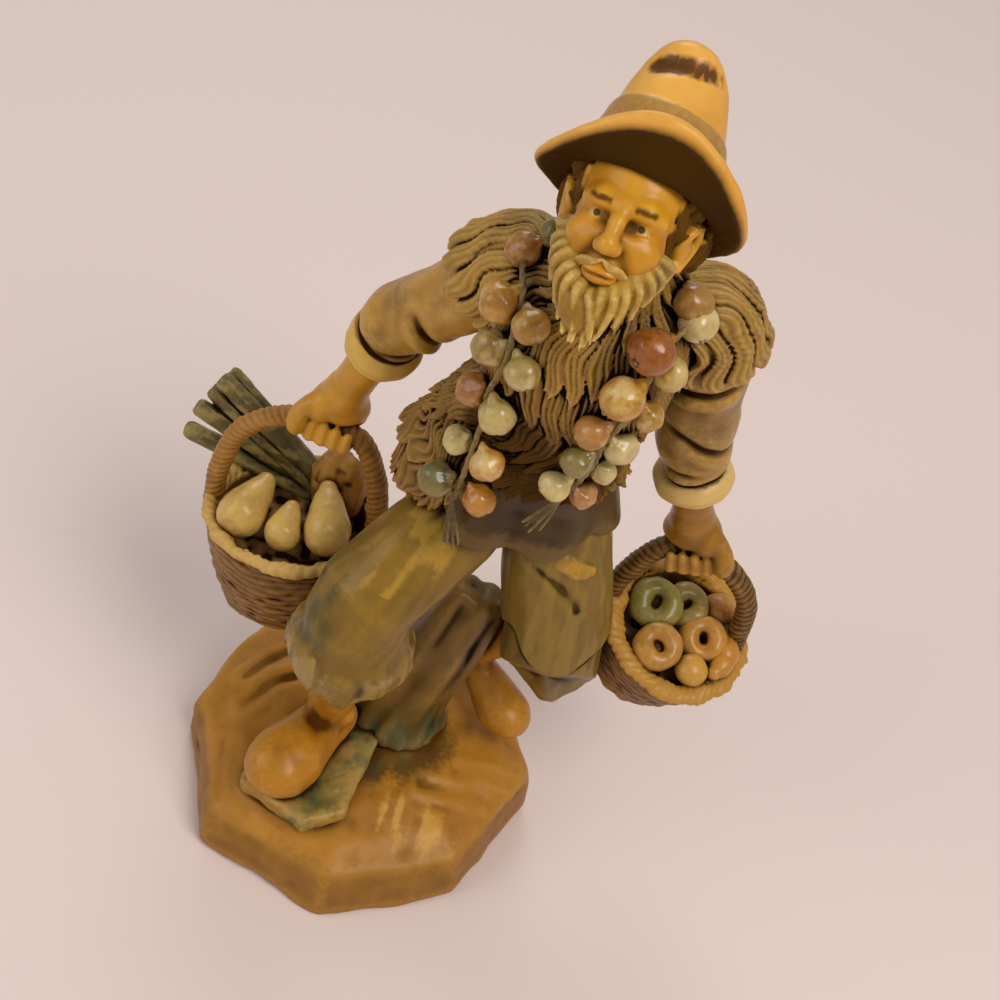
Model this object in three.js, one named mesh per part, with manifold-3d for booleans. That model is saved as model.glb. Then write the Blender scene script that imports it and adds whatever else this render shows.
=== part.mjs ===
// Crib figurine: a bearded carrier with two baskets and two strings of onions, striding over a rock base.
// Built of glued mouldings with pegs and sockets. Millimetres, +Z up, the figure faces -Y, and the
// origin is the middle of the flat underside of the base. The figure's right hand is on the -X side.
import * as THREE from 'three';
import { mergeVertices } from 'three/addons/utils/BufferGeometryUtils.js';
import Module from 'manifold-3d';

const wasm = await Module();
wasm.setup();

// Glue line between pieces
const CLEARANCE = 0.3;

// Rock base
const BASE_RADIUS = 38.5;
const BASE_WALL = 12.5;
const MOUND_RISE = 6.5;
const STONE_LENGTH = 34;
const STONE_WIDTH = 22;
const STONE_THICKNESS = 5;
const STUMP_RADIUS = 8;

// Body
const HIP_RISE = 75;
const TORSO_LENGTH = 63;
const HEM_HALF_WIDTH = 23;
const WAIST_HALF_WIDTH = 14.8;
const CHEST_HALF_WIDTH = 16.8;
const CHEST_HALF_DEPTH = 15.5;
const VEST_THICKNESS = 2.4;
const SHOULDER_SPAN = 38;

// Arms and legs
const UPPER_ARM = 31;
const FOREARM = 23;
const PALM_DROP = 10;
const SLEEVE_RADIUS = 6.4;
const CUFF_RADIUS = 6.6;
const CUFF_LENGTH = 5.4;
const SHOULDER_PEG = 9;
const WRIST_RADIUS = 3.6;
const FINGER_RADIUS = 1.35;
const PALM_HALF_WIDTH = 5.4;
const TROUSER_HALF_WIDTH = 10.5;
const HEM_FLARE = 1.11;
const KNEE_FULLNESS = 6;
const FLAP_LIFT = 3;
const FLAP_SLOPE = 8;
const FLAP_POINT = 13;
const SHIN_RADIUS = 5;
const FOOT_LENGTH = 27;
const FOOT_HALF_WIDTH = 7.6;

// Head and hat
const HEAD_HALF_WIDTH = 8.6;
const HEAD_HEIGHT = 25;
const NECK_RADIUS = 5.5;
const BEARD_DROP = 6.5;
const BRIM_RADIUS = 16.4;
const BRIM_THICKNESS = 1.7;
const CROWN_RADIUS = 10.8;
const CROWN_HEIGHT = 21;
const BAND_WIDTH = 3.2;
const BAND_THICKNESS = 0.8;

// Baskets
const RIGHT_BASKET_RADIUS = 17;
const RIGHT_BASKET_DEPTH = 20;
const LEFT_BASKET_RADIUS = 14.4;
const LEFT_BASKET_DEPTH = 18;
const BASKET_WALL = 2;
const BASKET_FILL = 0.42;
const WEAVE_ROWS = 6;
const WEAVE_STAKES = 10;
const WEAVE_RELIEF = 0.3;
const RIM_RADIUS = 1.7;
const HANDLE_RADIUS = 2.1;

// Produce
const AUBERGINE_RADIUS = 4.6;
const RING_RADIUS = 2.9;
const RING_THICKNESS = 2.1;
const BUN_RADIUS = 4;
const LEEK_RADIUS = 1.9;
const LEEK_LENGTH = 27;
const BULB_RADIUS = 3;
const CORD_RADIUS = 0.8;

const X_AXIS = new THREE.Vector3(1, 0, 0);
const Y_AXIS = new THREE.Vector3(0, 1, 0);
const Z_AXIS = new THREE.Vector3(0, 0, 1);
const TURN = 2 * Math.PI;

const vec = (x, y, z) => new THREE.Vector3(x, y, z);
const plus = (a, b) => a.clone().add(b);
const along = (start, aim, length) => start.clone().addScaledVector(aim.clone().normalize(), length);
const mix = (a, b, t) => a.clone().lerp(b, t);

// A mesh's signed volume tells which way its faces point
function signedVolume(positions, index) {
  let total = 0;
  const [a, b, c] = [vec(0, 0, 0), vec(0, 0, 0), vec(0, 0, 0)];
  for (let i = 0; i < index.length; i += 3) {
    a.fromArray(positions, 3 * index[i]);
    b.fromArray(positions, 3 * index[i + 1]);
    c.fromArray(positions, 3 * index[i + 2]);
    total += a.dot(b.cross(c));
  }
  return total / 6;
}

// Solid with outward faces, ready for cutting and joining
function solidOf(geometry) {
  const bare = geometry.clone();
  bare.deleteAttribute('normal');
  bare.deleteAttribute('uv');
  const merged = mergeVertices(bare, 1e-4);
  const positions = new Float32Array(merged.attributes.position.array);
  const index = [];
  for (let i = 0; i < merged.index.count; i += 3) {
    const [a, b, c] = [merged.index.getX(i), merged.index.getX(i + 1), merged.index.getX(i + 2)];
    if (a !== b && b !== c && c !== a) {
      index.push(a, b, c);
    }
  }
  if (signedVolume(positions, index) < 0) {
    for (let i = 0; i < index.length; i += 3) {
      [index[i], index[i + 1]] = [index[i + 1], index[i]];
    }
  }
  const mesh = new wasm.Mesh({ numProp: 3, vertProperties: positions, triVerts: new Uint32Array(index) });
  mesh.merge();
  return new wasm.Manifold(mesh);
}

// Closed skin through rings of points, with a fan over each end
function skin(rings) {
  const sides = rings[0].length;
  const positions = [];
  const index = [];
  rings.flat().forEach((point) => positions.push(point.x, point.y, point.z));
  for (let r = 0; r + 1 < rings.length; r += 1) {
    for (let k = 0; k < sides; k += 1) {
      const a = r * sides + k;
      const b = r * sides + ((k + 1) % sides);
      index.push(a, b, a + sides, b, b + sides, a + sides);
    }
  }
  const cap = (start, flip) => {
    const middle = vec(0, 0, 0);
    for (let k = 0; k < sides; k += 1) {
      middle.add(vec(0, 0, 0).fromArray(positions, 3 * (start + k)));
    }
    middle.divideScalar(sides);
    const centre = positions.length / 3;
    positions.push(middle.x, middle.y, middle.z);
    for (let k = 0; k < sides; k += 1) {
      const a = start + k;
      const b = start + ((k + 1) % sides);
      index.push(...(flip ? [centre, b, a] : [centre, a, b]));
    }
  };
  cap(0, true);
  cap((rings.length - 1) * sides, false);
  const geometry = new THREE.BufferGeometry();
  geometry.setAttribute('position', new THREE.Float32BufferAttribute(positions, 3));
  geometry.setIndex(index);
  return geometry;
}

// Stations along a limb, resampled to a smooth run; each is a place, a half width and a half depth
function smoothRun(stations, steps) {
  const smooth = (points) => new THREE.CatmullRomCurve3(points, false, 'catmullrom', 0.5);
  const places = smooth(stations.map((s) => s.at));
  const sizes = smooth(stations.map((s) => vec(s.w, s.d ?? s.w, 0)));
  const count = (stations.length - 1) * steps;
  return Array.from({ length: count + 1 }, (_, i) => {
    const size = sizes.getPoint(i / count);
    return { at: places.getPoint(i / count), w: size.x, d: size.y };
  });
}

// Limb or cloth form: an oval section carried along its stations, with folds round it
function limb(stations, options) {
  const { sides = 14, steps = 2, across = X_AXIS, fold = () => 0, drop = () => 0, grow = 0 } = options;
  const run = smoothRun(stations, steps);
  const last = run.length - 1;
  const rings = run.map((station, i) => {
    const before = run[Math.max(i - 1, 0)].at;
    const after = run[Math.min(i + 1, last)].at;
    const heading = after.clone().sub(before).normalize();
    const side = across.clone().addScaledVector(heading, -across.dot(heading)).normalize();
    const front = heading.clone().cross(side);
    const overrun = (i === last ? grow : 0) - (i === 0 ? grow : 0);
    return Array.from({ length: sides }, (_, k) => {
      const angle = (k / sides) * TURN;
      const swell = 1 + fold(angle, i / last);
      return station.at.clone()
        .addScaledVector(side, (station.w + grow) * Math.cos(angle) * swell)
        .addScaledVector(front, (station.d + grow) * Math.sin(angle) * swell)
        .addScaledVector(heading, overrun + drop(angle, i / last));
    });
  });
  return solidOf(skin(rings));
}

// Ball stretched to three half sizes, placed in a frame
function ellipsoid(place, halfSizes, { frame = new THREE.Matrix4(), grow = 0, sides = 14 } = {}) {
  const geometry = new THREE.SphereGeometry(1, sides, Math.ceil(sides * 0.6));
  geometry.scale(halfSizes.x + grow, halfSizes.y + grow, halfSizes.z + grow);
  geometry.translate(place.x, place.y, place.z);
  geometry.applyMatrix4(frame);
  return solidOf(geometry);
}

// Turned form: a profile of [radius, height] pairs round +Z, bent vertex by vertex, then placed
function turned(profile, { sides = 20, bend = (p) => p, frame = new THREE.Matrix4() } = {}) {
  const geometry = new THREE.LatheGeometry(profile.map(([r, h]) => new THREE.Vector2(r, h)), sides);
  geometry.rotateX(Math.PI / 2);
  const position = geometry.attributes.position;
  const point = vec(0, 0, 0);
  for (let i = 0; i < position.count; i += 1) {
    point.fromBufferAttribute(position, i);
    const bent = bend(point);
    position.setXYZ(i, bent.x, bent.y, bent.z);
  }
  geometry.applyMatrix4(frame);
  return solidOf(geometry);
}

// Round bar along a curve
function bar(points, radius, { sides = 8, steps = 16 } = {}) {
  const section = new THREE.Shape(Array.from({ length: sides }, (_, k) => {
    const angle = (k / sides) * TURN;
    return new THREE.Vector2(radius * Math.cos(angle), radius * Math.sin(angle));
  }));
  const path = new THREE.CatmullRomCurve3(points, false, 'centripetal');
  return solidOf(new THREE.ExtrudeGeometry(section, { steps, bevelEnabled: false, extrudePath: path }));
}

// Frame whose +Z runs along an axis and whose +X stays near a given direction
function frameAt(origin, zAxis, xHint) {
  const z = zAxis.clone().normalize();
  const x = xHint.clone().addScaledVector(z, -xHint.dot(z)).normalize();
  const y = z.clone().cross(x);
  return new THREE.Matrix4().makeBasis(x, y, z).setPosition(origin);
}

const joined = (solids) => solids.reduce((a, b) => a.add(b));

// Pieces in order of making: each is cut to clear every piece made before it, so that it seats on them
const pieces = [];

function piece(name, colour, roughness, shape) {
  const body = shape(0);
  const reach = shape(CLEARANCE);
  const cut = pieces.reduce((left, other) => left.subtract(other.reach), body);
  const bodies = cut.decompose().sort((a, b) => b.volume() - a.volume());
  pieces.push({ name, colour, roughness, reach, body: bodies[0] });
}

// Skeleton: everything hangs from the top of the mound
const MOUND_TOP = BASE_WALL + MOUND_RISE;
const hip = vec(14, 2, MOUND_TOP + HIP_RISE);
const neck = along(hip, vec(5.8, -14.5, 61), TORSO_LENGTH);
const torsoAt = (share) => mix(hip, neck, share);
const shoulderLine = torsoAt(0.85);
const rightShoulder = plus(shoulderLine, vec(-SHOULDER_SPAN / 2 + 4, 4, -2));
const leftShoulder = plus(shoulderLine, vec(SHOULDER_SPAN / 2 + 1, 4, -2));
const rightElbow = along(rightShoulder, vec(-0.53, 0.36, -0.77), UPPER_ARM);
const rightWrist = along(rightElbow, vec(-0.32, 0.16, -0.93), FOREARM);
const rightGrip = along(rightWrist, vec(-0.15, 0.1, -0.98), PALM_DROP);
const leftElbow = along(leftShoulder, vec(0.13, 0.32, -0.94), UPPER_ARM);
const leftWrist = along(leftElbow, vec(0.24, 0.18, -0.95), FOREARM);
const leftGrip = along(leftWrist, vec(0.24, 0.15, -0.96), PALM_DROP);
const rightHip = plus(hip, vec(-2, 1, 2));
const leftHip = plus(hip, vec(9, 0, 2));
const rightAnkle = vec(-9, -8, MOUND_TOP + 10);
const leftAnkle = vec(16.5, 14, MOUND_TOP + 15);
const rightKnee = plus(mix(rightHip, rightAnkle, 0.46), vec(-8.5, -14.5, 2.5));
const leftKnee = plus(mix(leftHip, leftAnkle, 0.42), vec(9, -8, 0));

// Rock base: an octagon with sloping walls, rising to a mound under the feet
const CORNERS = 8;
const BASE_TURN = 0.06;
const BASE_CENTRE = vec(-2, 0, 0);

function octagonReach(angle) {
  const step = TURN / CORNERS;
  const inside = (((angle - BASE_TURN) % step) + step) % step - step / 2;
  return Math.cos(step / 2) / Math.cos(inside);
}

function rockRing(share, height, grow) {
  const perCorner = 4;
  return Array.from({ length: CORNERS * perCorner }, (_, k) => {
    const angle = BASE_TURN + (k / (CORNERS * perCorner)) * TURN;
    const rough = 1 + 0.02 * Math.sin(3 * angle + 1) + 0.012 * Math.sin(5 * angle);
    const corner = THREE.MathUtils.lerp(1, octagonReach(angle), Math.min(1, share));
    const reach = share * BASE_RADIUS * corner * rough + grow;
    const lump = height > BASE_WALL ? 0.5 * Math.sin(2 * angle + share * 7) * (1 - share) * 4 : 0;
    const slope = height > 2 ? 0.055 * reach * Math.sin(angle) : 0;
    const place = vec(reach * Math.cos(angle), reach * Math.sin(angle), height + lump * 0.5 + slope);
    return plus(BASE_CENTRE, place);
  });
}

piece('rock_base', '#b07a2c', 0.5, (grow) => solidOf(skin([
  rockRing(1, 0 - grow, grow),
  rockRing(1.01, 1.2, grow),
  rockRing(0.985, BASE_WALL * 0.7, grow),
  rockRing(0.94, BASE_WALL, grow),
  rockRing(0.78, BASE_WALL + MOUND_RISE * 0.45, grow).map((p) => p.setZ(p.z + grow)),
  rockRing(0.56, BASE_WALL + MOUND_RISE * 0.8, grow).map((p) => p.setZ(p.z + grow)),
  rockRing(0.32, BASE_WALL + MOUND_RISE * 0.97, grow).map((p) => p.setZ(p.z + grow)),
  rockRing(0.12, MOUND_TOP, grow).map((p) => p.setZ(p.z + grow)),
])));

// Wedge of stone under the leading foot
const footAim = vec(-8.5, -20, 0).normalize();
const STONE_TOP = MOUND_TOP + 1.4;
piece('stepping_stone', '#8d8a52', 0.55, (grow) => {
  const long = STONE_LENGTH + grow;
  const wide = STONE_WIDTH + grow;
  const outline = [[-0.28, -0.38], [0.46, -0.42], [0.61, -0.3], [0.6, 0.43], [0.38, 0.66], [0.05, 0.5],
    [-0.28, 0.36]];
  const shape = new THREE.Shape(outline.map(([x, y]) => new THREE.Vector2(x * long, y * wide)));
  const slab = new THREE.ExtrudeGeometry(shape, { depth: STONE_THICKNESS + 2 * grow, bevelEnabled: false });
  slab.translate(0, 0, -STONE_THICKNESS - grow);
  slab.applyMatrix4(frameAt(vec(rightAnkle.x + 1, rightAnkle.y, STONE_TOP), vec(-0.02, -0.06, 1), footAim));
  return solidOf(slab);
});

// Stump with long grass, propping the trailing leg
const stumpTop = plus(mix(leftKnee, leftAnkle, 0.25), vec(-11, 2, 0));
piece('support_stump', '#6f6338', 0.6, (grow) => limb([
  { at: vec(3, 2, MOUND_TOP - 5), w: STUMP_RADIUS * 1.6, d: STUMP_RADIUS * 1.25 },
  { at: vec(4.5, 3, MOUND_TOP + 6), w: STUMP_RADIUS * 1.15, d: STUMP_RADIUS },
  { at: mix(vec(5, 4, MOUND_TOP + 8), stumpTop, 0.5), w: STUMP_RADIUS, d: STUMP_RADIUS * 0.85 },
  { at: stumpTop, w: STUMP_RADIUS * 0.75, d: STUMP_RADIUS * 0.6 },
], { sides: 14, steps: 2, grow, fold: (a, t) => 0.07 * Math.sin(5 * a + 2 * t) }));

// Bare feet with their shins, which are pegs in the trouser legs; the trailing heel is lifted
function foot(ankle, aim, length, bulk, heelLift, shinTop, grow) {
  const half = FOOT_HALF_WIDTH * bulk;
  const ground = vec(ankle.x, ankle.y, MOUND_TOP + 1);
  const at = (forward, lift) => plus(along(ground, aim, forward * length),
    vec(0, 0, lift + heelLift * Math.max(0, 1 - (forward + 0.2) / 0.75)));
  const shin = limb([
    { at: shinTop, w: SHIN_RADIUS },
    { at: mix(shinTop, ankle, 0.6), w: SHIN_RADIUS },
    { at: ankle, w: SHIN_RADIUS * 0.95 },
    { at: at(-0.04, 3), w: SHIN_RADIUS * 0.9 },
  ], { grow, sides: 8, steps: 1 });
  const across = aim.clone().cross(Z_AXIS);
  const sole = limb([
    { at: at(-0.26, 3.4), w: half * 0.35, d: 2 * bulk },
    { at: at(-0.19, 3.6), w: half * 0.68, d: 4.4 * bulk },
    { at: at(0.1, 4.4), w: half * 0.78, d: 5.2 * bulk },
    { at: at(0.42, 4.4), w: half, d: 6.2 * bulk },
    { at: at(0.66, 4), w: half * 0.94, d: 5.8 * bulk },
    { at: at(0.82, 3), w: half * 0.45, d: 2.6 * bulk },
  ], { across, grow, sides: 10, steps: 1 });
  return shin.add(sole);
}

const TRAILING_HEEL_LIFT = 9;
const TRAILING_FOOT_LENGTH = FOOT_LENGTH * 0.8;
const TRAILING_BULK = 0.74;
const leftFootAim = vec(12, -8, 0).normalize();
const rightShinTop = mix(rightAnkle, rightKnee, 0.75);
const leftShinTop = mix(leftAnkle, leftKnee, 0.6);
piece('right_foot', '#bb7d2b', 0.45,
  (grow) => foot(rightAnkle, footAim, FOOT_LENGTH, 1, 0, rightShinTop, grow));
piece('left_foot', '#bb7d2b', 0.45, (grow) => foot(leftAnkle, leftFootAim, TRAILING_FOOT_LENGTH,
  TRAILING_BULK, TRAILING_HEEL_LIFT, leftShinTop, grow));

// Basket frames: origin at the middle of the rim, +Z out of the opening
const RIGHT_HANDLE_RISE = 27.5;
const LEFT_HANDLE_RISE = 22.8;
const LEFT_LEAN = vec(0.25, -0.32, 0.914);
const rightRim = plus(rightGrip, vec(-4.8, 0.8, -RIGHT_HANDLE_RISE));
const rightBasketFrame = frameAt(rightRim, vec(-0.03, 0.03, 1), X_AXIS);
const leftRim = plus(leftGrip, vec(3.4, 0.9, -LEFT_HANDLE_RISE));
const leftBasketFrame = frameAt(leftRim, LEFT_LEAN, X_AXIS);

// Handle: an arch through the grip, with its ends let into the basket wall
function handlePoints(frame, radius, grip) {
  const leftEnd = vec(-radius + BASKET_WALL * 0.2, 0, -5).applyMatrix4(frame);
  const rightEnd = vec(radius - BASKET_WALL * 0.2, 0, -5).applyMatrix4(frame);
  const raised = (end, x, share) => vec(end.x + x, mix(end, grip, share).y, mix(end, grip, share).z);
  const left = (x, share) => raised(leftEnd, x, share);
  const right = (x, share) => raised(rightEnd, -x, share);
  const span = rightEnd.x - leftEnd.x;
  const leftReach = grip.x - leftEnd.x;
  const rightReach = rightEnd.x - grip.x;
  return [left(0, 0), left(span * 0.01, 0.4), left(span * 0.13, 0.78), left(leftReach * 0.62, 0.985), grip,
    right(rightReach * 0.5, 0.93), right(span * 0.06, 0.68), right(span * 0.005, 0.35), right(0, 0)];
}

const rightHandle = handlePoints(rightBasketFrame, RIGHT_BASKET_RADIUS, rightGrip);
const leftHandle = handlePoints(leftBasketFrame, LEFT_BASKET_RADIUS, leftGrip);
piece('right_basket_handle', '#a8722c', 0.55, (grow) => bar(rightHandle, HANDLE_RADIUS + grow));
piece('left_basket_handle', '#a8722c', 0.55, (grow) => bar(leftHandle, HANDLE_RADIUS + grow));

// Fist hooked under a handle: palm behind and above, fingers coming up in front, thumb on the outer side
function hand(elbow, wrist, grip, outer, grow) {
  const frame = frameAt(grip, wrist.clone().sub(grip), X_AXIS);
  const local = (x, y, z) => vec(x, y, z).applyMatrix4(frame);
  const hook = HANDLE_RADIUS + CLEARANCE + FINGER_RADIUS * 0.9;
  const pitch = (2 * PALM_HALF_WIDTH - FINGER_RADIUS) / 4;
  const fingers = [-1.5, -0.5, 0.5, 1.5].map((place) => limb([30, 100, 170, 240, 305].map((degrees, i) => {
    const angle = THREE.MathUtils.degToRad(degrees);
    const size = FINGER_RADIUS * (i === 4 ? 0.6 : 1.08);
    return { at: local(place * pitch, hook * Math.sin(angle), hook * Math.cos(angle)), w: size };
  }), { sides: 5, steps: 1, grow }));
  const palm = limb([
    { at: mix(elbow, wrist, 0.35), w: WRIST_RADIUS * 1.15 },
    { at: mix(elbow, wrist, 0.8), w: WRIST_RADIUS },
    { at: wrist, w: WRIST_RADIUS * 1.05, d: WRIST_RADIUS },
    { at: local(0, 0.6, PALM_DROP * 0.62), w: PALM_HALF_WIDTH, d: 4 },
    { at: local(0, hook * 0.55, PALM_DROP * 0.34), w: PALM_HALF_WIDTH * 1.04, d: 3 },
    { at: local(0, hook * 0.95, 0), w: PALM_HALF_WIDTH, d: 1.7 },
  ], { grow, sides: 8, steps: 1 });
  const thumb = limb([
    { at: local(outer * PALM_HALF_WIDTH * 0.7, -0.5, PALM_DROP * 0.66), w: 1.9 },
    { at: local(outer * PALM_HALF_WIDTH * 1.2, -2.6, PALM_DROP * 0.36), w: 1.8 },
    { at: local(outer * PALM_HALF_WIDTH * 1.22, -hook, 1), w: 1.6 },
    { at: local(outer * PALM_HALF_WIDTH * 1.12, -hook * 0.98, -1.4), w: 0.8 },
  ], { grow, sides: 5, steps: 1 });
  return joined([palm, thumb, ...fingers]);
}

piece('right_hand', '#b5832b', 0.42, (grow) => hand(rightElbow, rightWrist, rightGrip, -1, grow));
piece('left_hand', '#b5832b', 0.42, (grow) => hand(leftElbow, leftWrist, leftGrip, 1, grow));

// Sleeves pushed up to a rolled cuff; the upper end is a peg in the vest
const RIGHT_CUFF_SHARE = 0.42;
const LEFT_CUFF_SHARE = 0.58;
function sleeve(shoulder, elbow, wrist, cuffShare, inward, grow) {
  const cuffEnd = mix(elbow, wrist, cuffShare);
  const down = wrist.clone().sub(elbow).normalize();
  const cuffStart = along(cuffEnd, down, -CUFF_LENGTH);
  const peg = ellipsoid(plus(shoulder, vec(inward * SHOULDER_PEG * 0.5, 0, 0.5)),
    vec(SHOULDER_PEG, SLEEVE_RADIUS * 0.95, SLEEVE_RADIUS), { grow, sides: 8 });
  const arm = limb([
    { at: along(shoulder, shoulder.clone().sub(elbow), SLEEVE_RADIUS * 0.4), w: SLEEVE_RADIUS * 0.8 },
    { at: mix(shoulder, elbow, 0.1), w: SLEEVE_RADIUS * 1.1 },
    { at: mix(shoulder, elbow, 0.5), w: SLEEVE_RADIUS * 1.04 },
    { at: mix(elbow, cuffEnd, -0.05), w: SLEEVE_RADIUS * 1.12 },
    { at: mix(elbow, cuffEnd, 0.55), w: SLEEVE_RADIUS * 0.98 },
    { at: cuffEnd, w: SLEEVE_RADIUS * 0.88 },
  ], { grow, sides: 10, steps: 2, fold: (a, t) => 0.04 * Math.sin(26 * t + 2 * Math.cos(a)) });
  const cuff = limb([
    { at: cuffStart, w: CUFF_RADIUS * 0.8 },
    { at: mix(cuffStart, cuffEnd, 0.15), w: CUFF_RADIUS },
    { at: mix(cuffStart, cuffEnd, 0.85), w: CUFF_RADIUS },
    { at: cuffEnd, w: CUFF_RADIUS * 0.86 },
  ], { grow, sides: 10, steps: 1 });
  return joined([arm, peg, cuff]);
}

piece('right_sleeve', '#a5874b', 0.55,
  (grow) => sleeve(rightShoulder, rightElbow, rightWrist, RIGHT_CUFF_SHARE, 1, grow));
piece('left_sleeve', '#a5874b', 0.55,
  (grow) => sleeve(leftShoulder, leftElbow, leftWrist, LEFT_CUFF_SHARE, -1, grow));

// Woven basket: rows of weave over stakes, a plaited rim and a filled floor that carries the produce
function basket(frame, radius, depth, grow) {
  const footRadius = radius * 0.76;
  const wallAt = (share) => footRadius + (radius - footRadius) * Math.sin(share * Math.PI * 0.5);
  const rows = Array.from({ length: WEAVE_ROWS + 1 }, (_, i) => {
    const share = i / WEAVE_ROWS;
    return [wallAt(share) + grow, -depth + depth * share + (i === 0 ? -grow : 0)];
  });
  const floor = -depth * (1 - BASKET_FILL);
  const bore = radius - BASKET_WALL - grow;
  const lip = radius + RIM_RADIUS * 0.72 + grow;
  const profile = [[0, -depth - grow], [footRadius - 2, -depth - grow], ...rows,
    [lip, 0.2], [lip, RIM_RADIUS], [radius, RIM_RADIUS * 1.7 + grow],
    [bore, RIM_RADIUS * 1.2], [bore, -1], [bore - 1, floor + grow], [0, floor + grow]];
  const bend = (p) => {
    const angle = Math.atan2(p.y, p.x);
    const row = Math.round(((p.z + depth) / depth) * WEAVE_ROWS);
    const outside = Math.hypot(p.x, p.y) > wallAt(THREE.MathUtils.clamp(row / WEAVE_ROWS, 0, 1)) - 0.5;
    const onWall = outside && row > 0 && row < WEAVE_ROWS;
    const onRim = outside && p.z > 0;
    const weave = onWall ? WEAVE_RELIEF * Math.cos(WEAVE_STAKES * angle + Math.PI * row) : 0;
    const plait = onRim ? WEAVE_RELIEF * 1.3 * Math.cos(WEAVE_STAKES * angle) : 0;
    const scale = 1 + (weave + plait) / Math.max(1, Math.hypot(p.x, p.y));
    return vec(p.x * scale, p.y * scale, p.z);
  };
  return turned(profile, { sides: WEAVE_STAKES * 2, bend, frame });
}

piece('right_basket', '#87623a', 0.6,
  (grow) => basket(rightBasketFrame, RIGHT_BASKET_RADIUS, RIGHT_BASKET_DEPTH, grow));
piece('left_basket', '#8f6a45', 0.6,
  (grow) => basket(leftBasketFrame, LEFT_BASKET_RADIUS, LEFT_BASKET_DEPTH, grow));

// Trousers: the right leg cropped to a ragged hem, the left one hanging in a pointed flap
const tatter = (a) => 1.6 * Math.sin(5 * a + 0.6) + 0.9 * Math.sin(9 * a);
const cloth = (at, wide, deep) => ({ at, w: TROUSER_HALF_WIDTH * wide, d: TROUSER_HALF_WIDTH * deep });
piece('right_trouser_leg', '#85762c', 0.55, (grow) => limb([
  cloth(plus(rightHip, vec(1, 0, 4)), 0.72, 0.72),
  cloth(mix(rightHip, rightKnee, 0.35), 0.9, 0.85),
  cloth(plus(rightKnee, vec(1, 1, KNEE_FULLNESS)), 0.93, 0.85),
  cloth(mix(rightKnee, rightAnkle, 0.16), 1, 0.88),
  cloth(mix(rightKnee, rightAnkle, 0.34), HEM_FLARE, 0.95),
], {
  sides: 18, steps: 2, grow,
  fold: (a, t) => 0.05 * t * Math.sin(4 * a + 1) + 0.03 * Math.sin(9 * t + a),
  drop: (a, t) => (t > 0.99 ? tatter(a) : 0),
}));

const leftHem = plus(leftAnkle, vec(15, -14, 12));
const FLAP_START = 0.35;
const FLAP_ANGLE = 4.9;
const flapPoint = (a) => FLAP_POINT * Math.max(0, Math.cos(a - FLAP_ANGLE)) ** 3;
const flapDrop = (a) => flapPoint(a) - FLAP_LIFT - FLAP_SLOPE * Math.sin(a);
piece('left_trouser_leg', '#6f5f2b', 0.55, (grow) => limb([
  cloth(plus(leftHip, vec(0, 0, 3)), 0.7, 0.7),
  cloth(mix(leftHip, leftHem, 0.2), 0.92, 0.85),
  cloth(plus(mix(leftHip, leftHem, 0.55), vec(1, 0, 0)), 0.97, 0.85),
  cloth(plus(mix(leftHip, leftHem, 0.85), vec(0.6, 0, 0)), 1, 0.82),
  cloth(leftHem, 1, 0.78),
], {
  sides: 16, steps: 2, grow,
  fold: (a, t) => 0.05 * t * Math.sin(3 * a + 2.2),
  drop: (a, t) => flapDrop(a) * Math.max(0, (t - FLAP_START) / (1 - FLAP_START)) ** 1.5,
}));

// Torso sections from hem to neck, shared by the tunic, the vest and what hangs on them
const torsoSections = [
  { share: -0.04, shift: vec(-0.6, -1.4, 0), w: HEM_HALF_WIDTH, d: CHEST_HALF_DEPTH * 1.03 },
  { share: 0.16, shift: vec(-1.8, -0.2, 0), w: HEM_HALF_WIDTH * 0.93, d: CHEST_HALF_DEPTH },
  { share: 0.32, shift: vec(-0.6, -0.9, 0), w: WAIST_HALF_WIDTH * 1.17, d: CHEST_HALF_DEPTH },
  { share: 0.52, shift: vec(1.5, -1.1, 0), w: WAIST_HALF_WIDTH, d: CHEST_HALF_DEPTH },
  { share: 0.73, shift: vec(1.1, -0.9, 0), w: CHEST_HALF_WIDTH, d: CHEST_HALF_DEPTH * 1.03 },
  { share: 0.89, shift: vec(0.5, 0.4, 0), w: CHEST_HALF_WIDTH * 0.97, d: CHEST_HALF_DEPTH * 0.83 },
  { share: 1, shift: vec(0, 0, 0), w: CHEST_HALF_WIDTH * 0.62, d: CHEST_HALF_DEPTH * 0.56 },
  { share: 1.06, shift: vec(-0.3, -2, 0), w: CHEST_HALF_WIDTH * 0.46, d: CHEST_HALF_DEPTH * 0.45 },
];
const torsoStations = torsoSections.map((s) => ({ at: plus(torsoAt(s.share), s.shift), w: s.w, d: s.d }));

// Point on the clothes: an angle round the body, 0 at the left side and a quarter turn at the back
function onTorso(angle, share, lift) {
  const next = Math.max(1, torsoSections.findIndex((s) => s.share >= share));
  const [low, high] = [torsoSections[next - 1], torsoSections[next]];
  const t = (share - low.share) / (high.share - low.share);
  const [a, b] = [torsoStations[next - 1], torsoStations[next]];
  const w = a.w + (b.w - a.w) * t + lift;
  const d = a.d + (b.d - a.d) * t + lift;
  return plus(mix(a.at, b.at, t), vec(w * Math.cos(angle), d * Math.sin(angle), 0));
}

const inner = (station, less) => ({ at: station.at, w: station.w - less, d: station.d - less });
piece('tunic', '#574423', 0.6, (grow) => limb([
  inner(torsoStations[0], 1),
  inner(torsoStations[1], 1.8),
  inner(torsoStations[2], VEST_THICKNESS),
  inner(torsoStations[3], VEST_THICKNESS + 1.5),
], { sides: 16, steps: 1, grow, fold: (a, t) => 0.03 * (1 - t) * Math.sin(6 * a) }));

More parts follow.
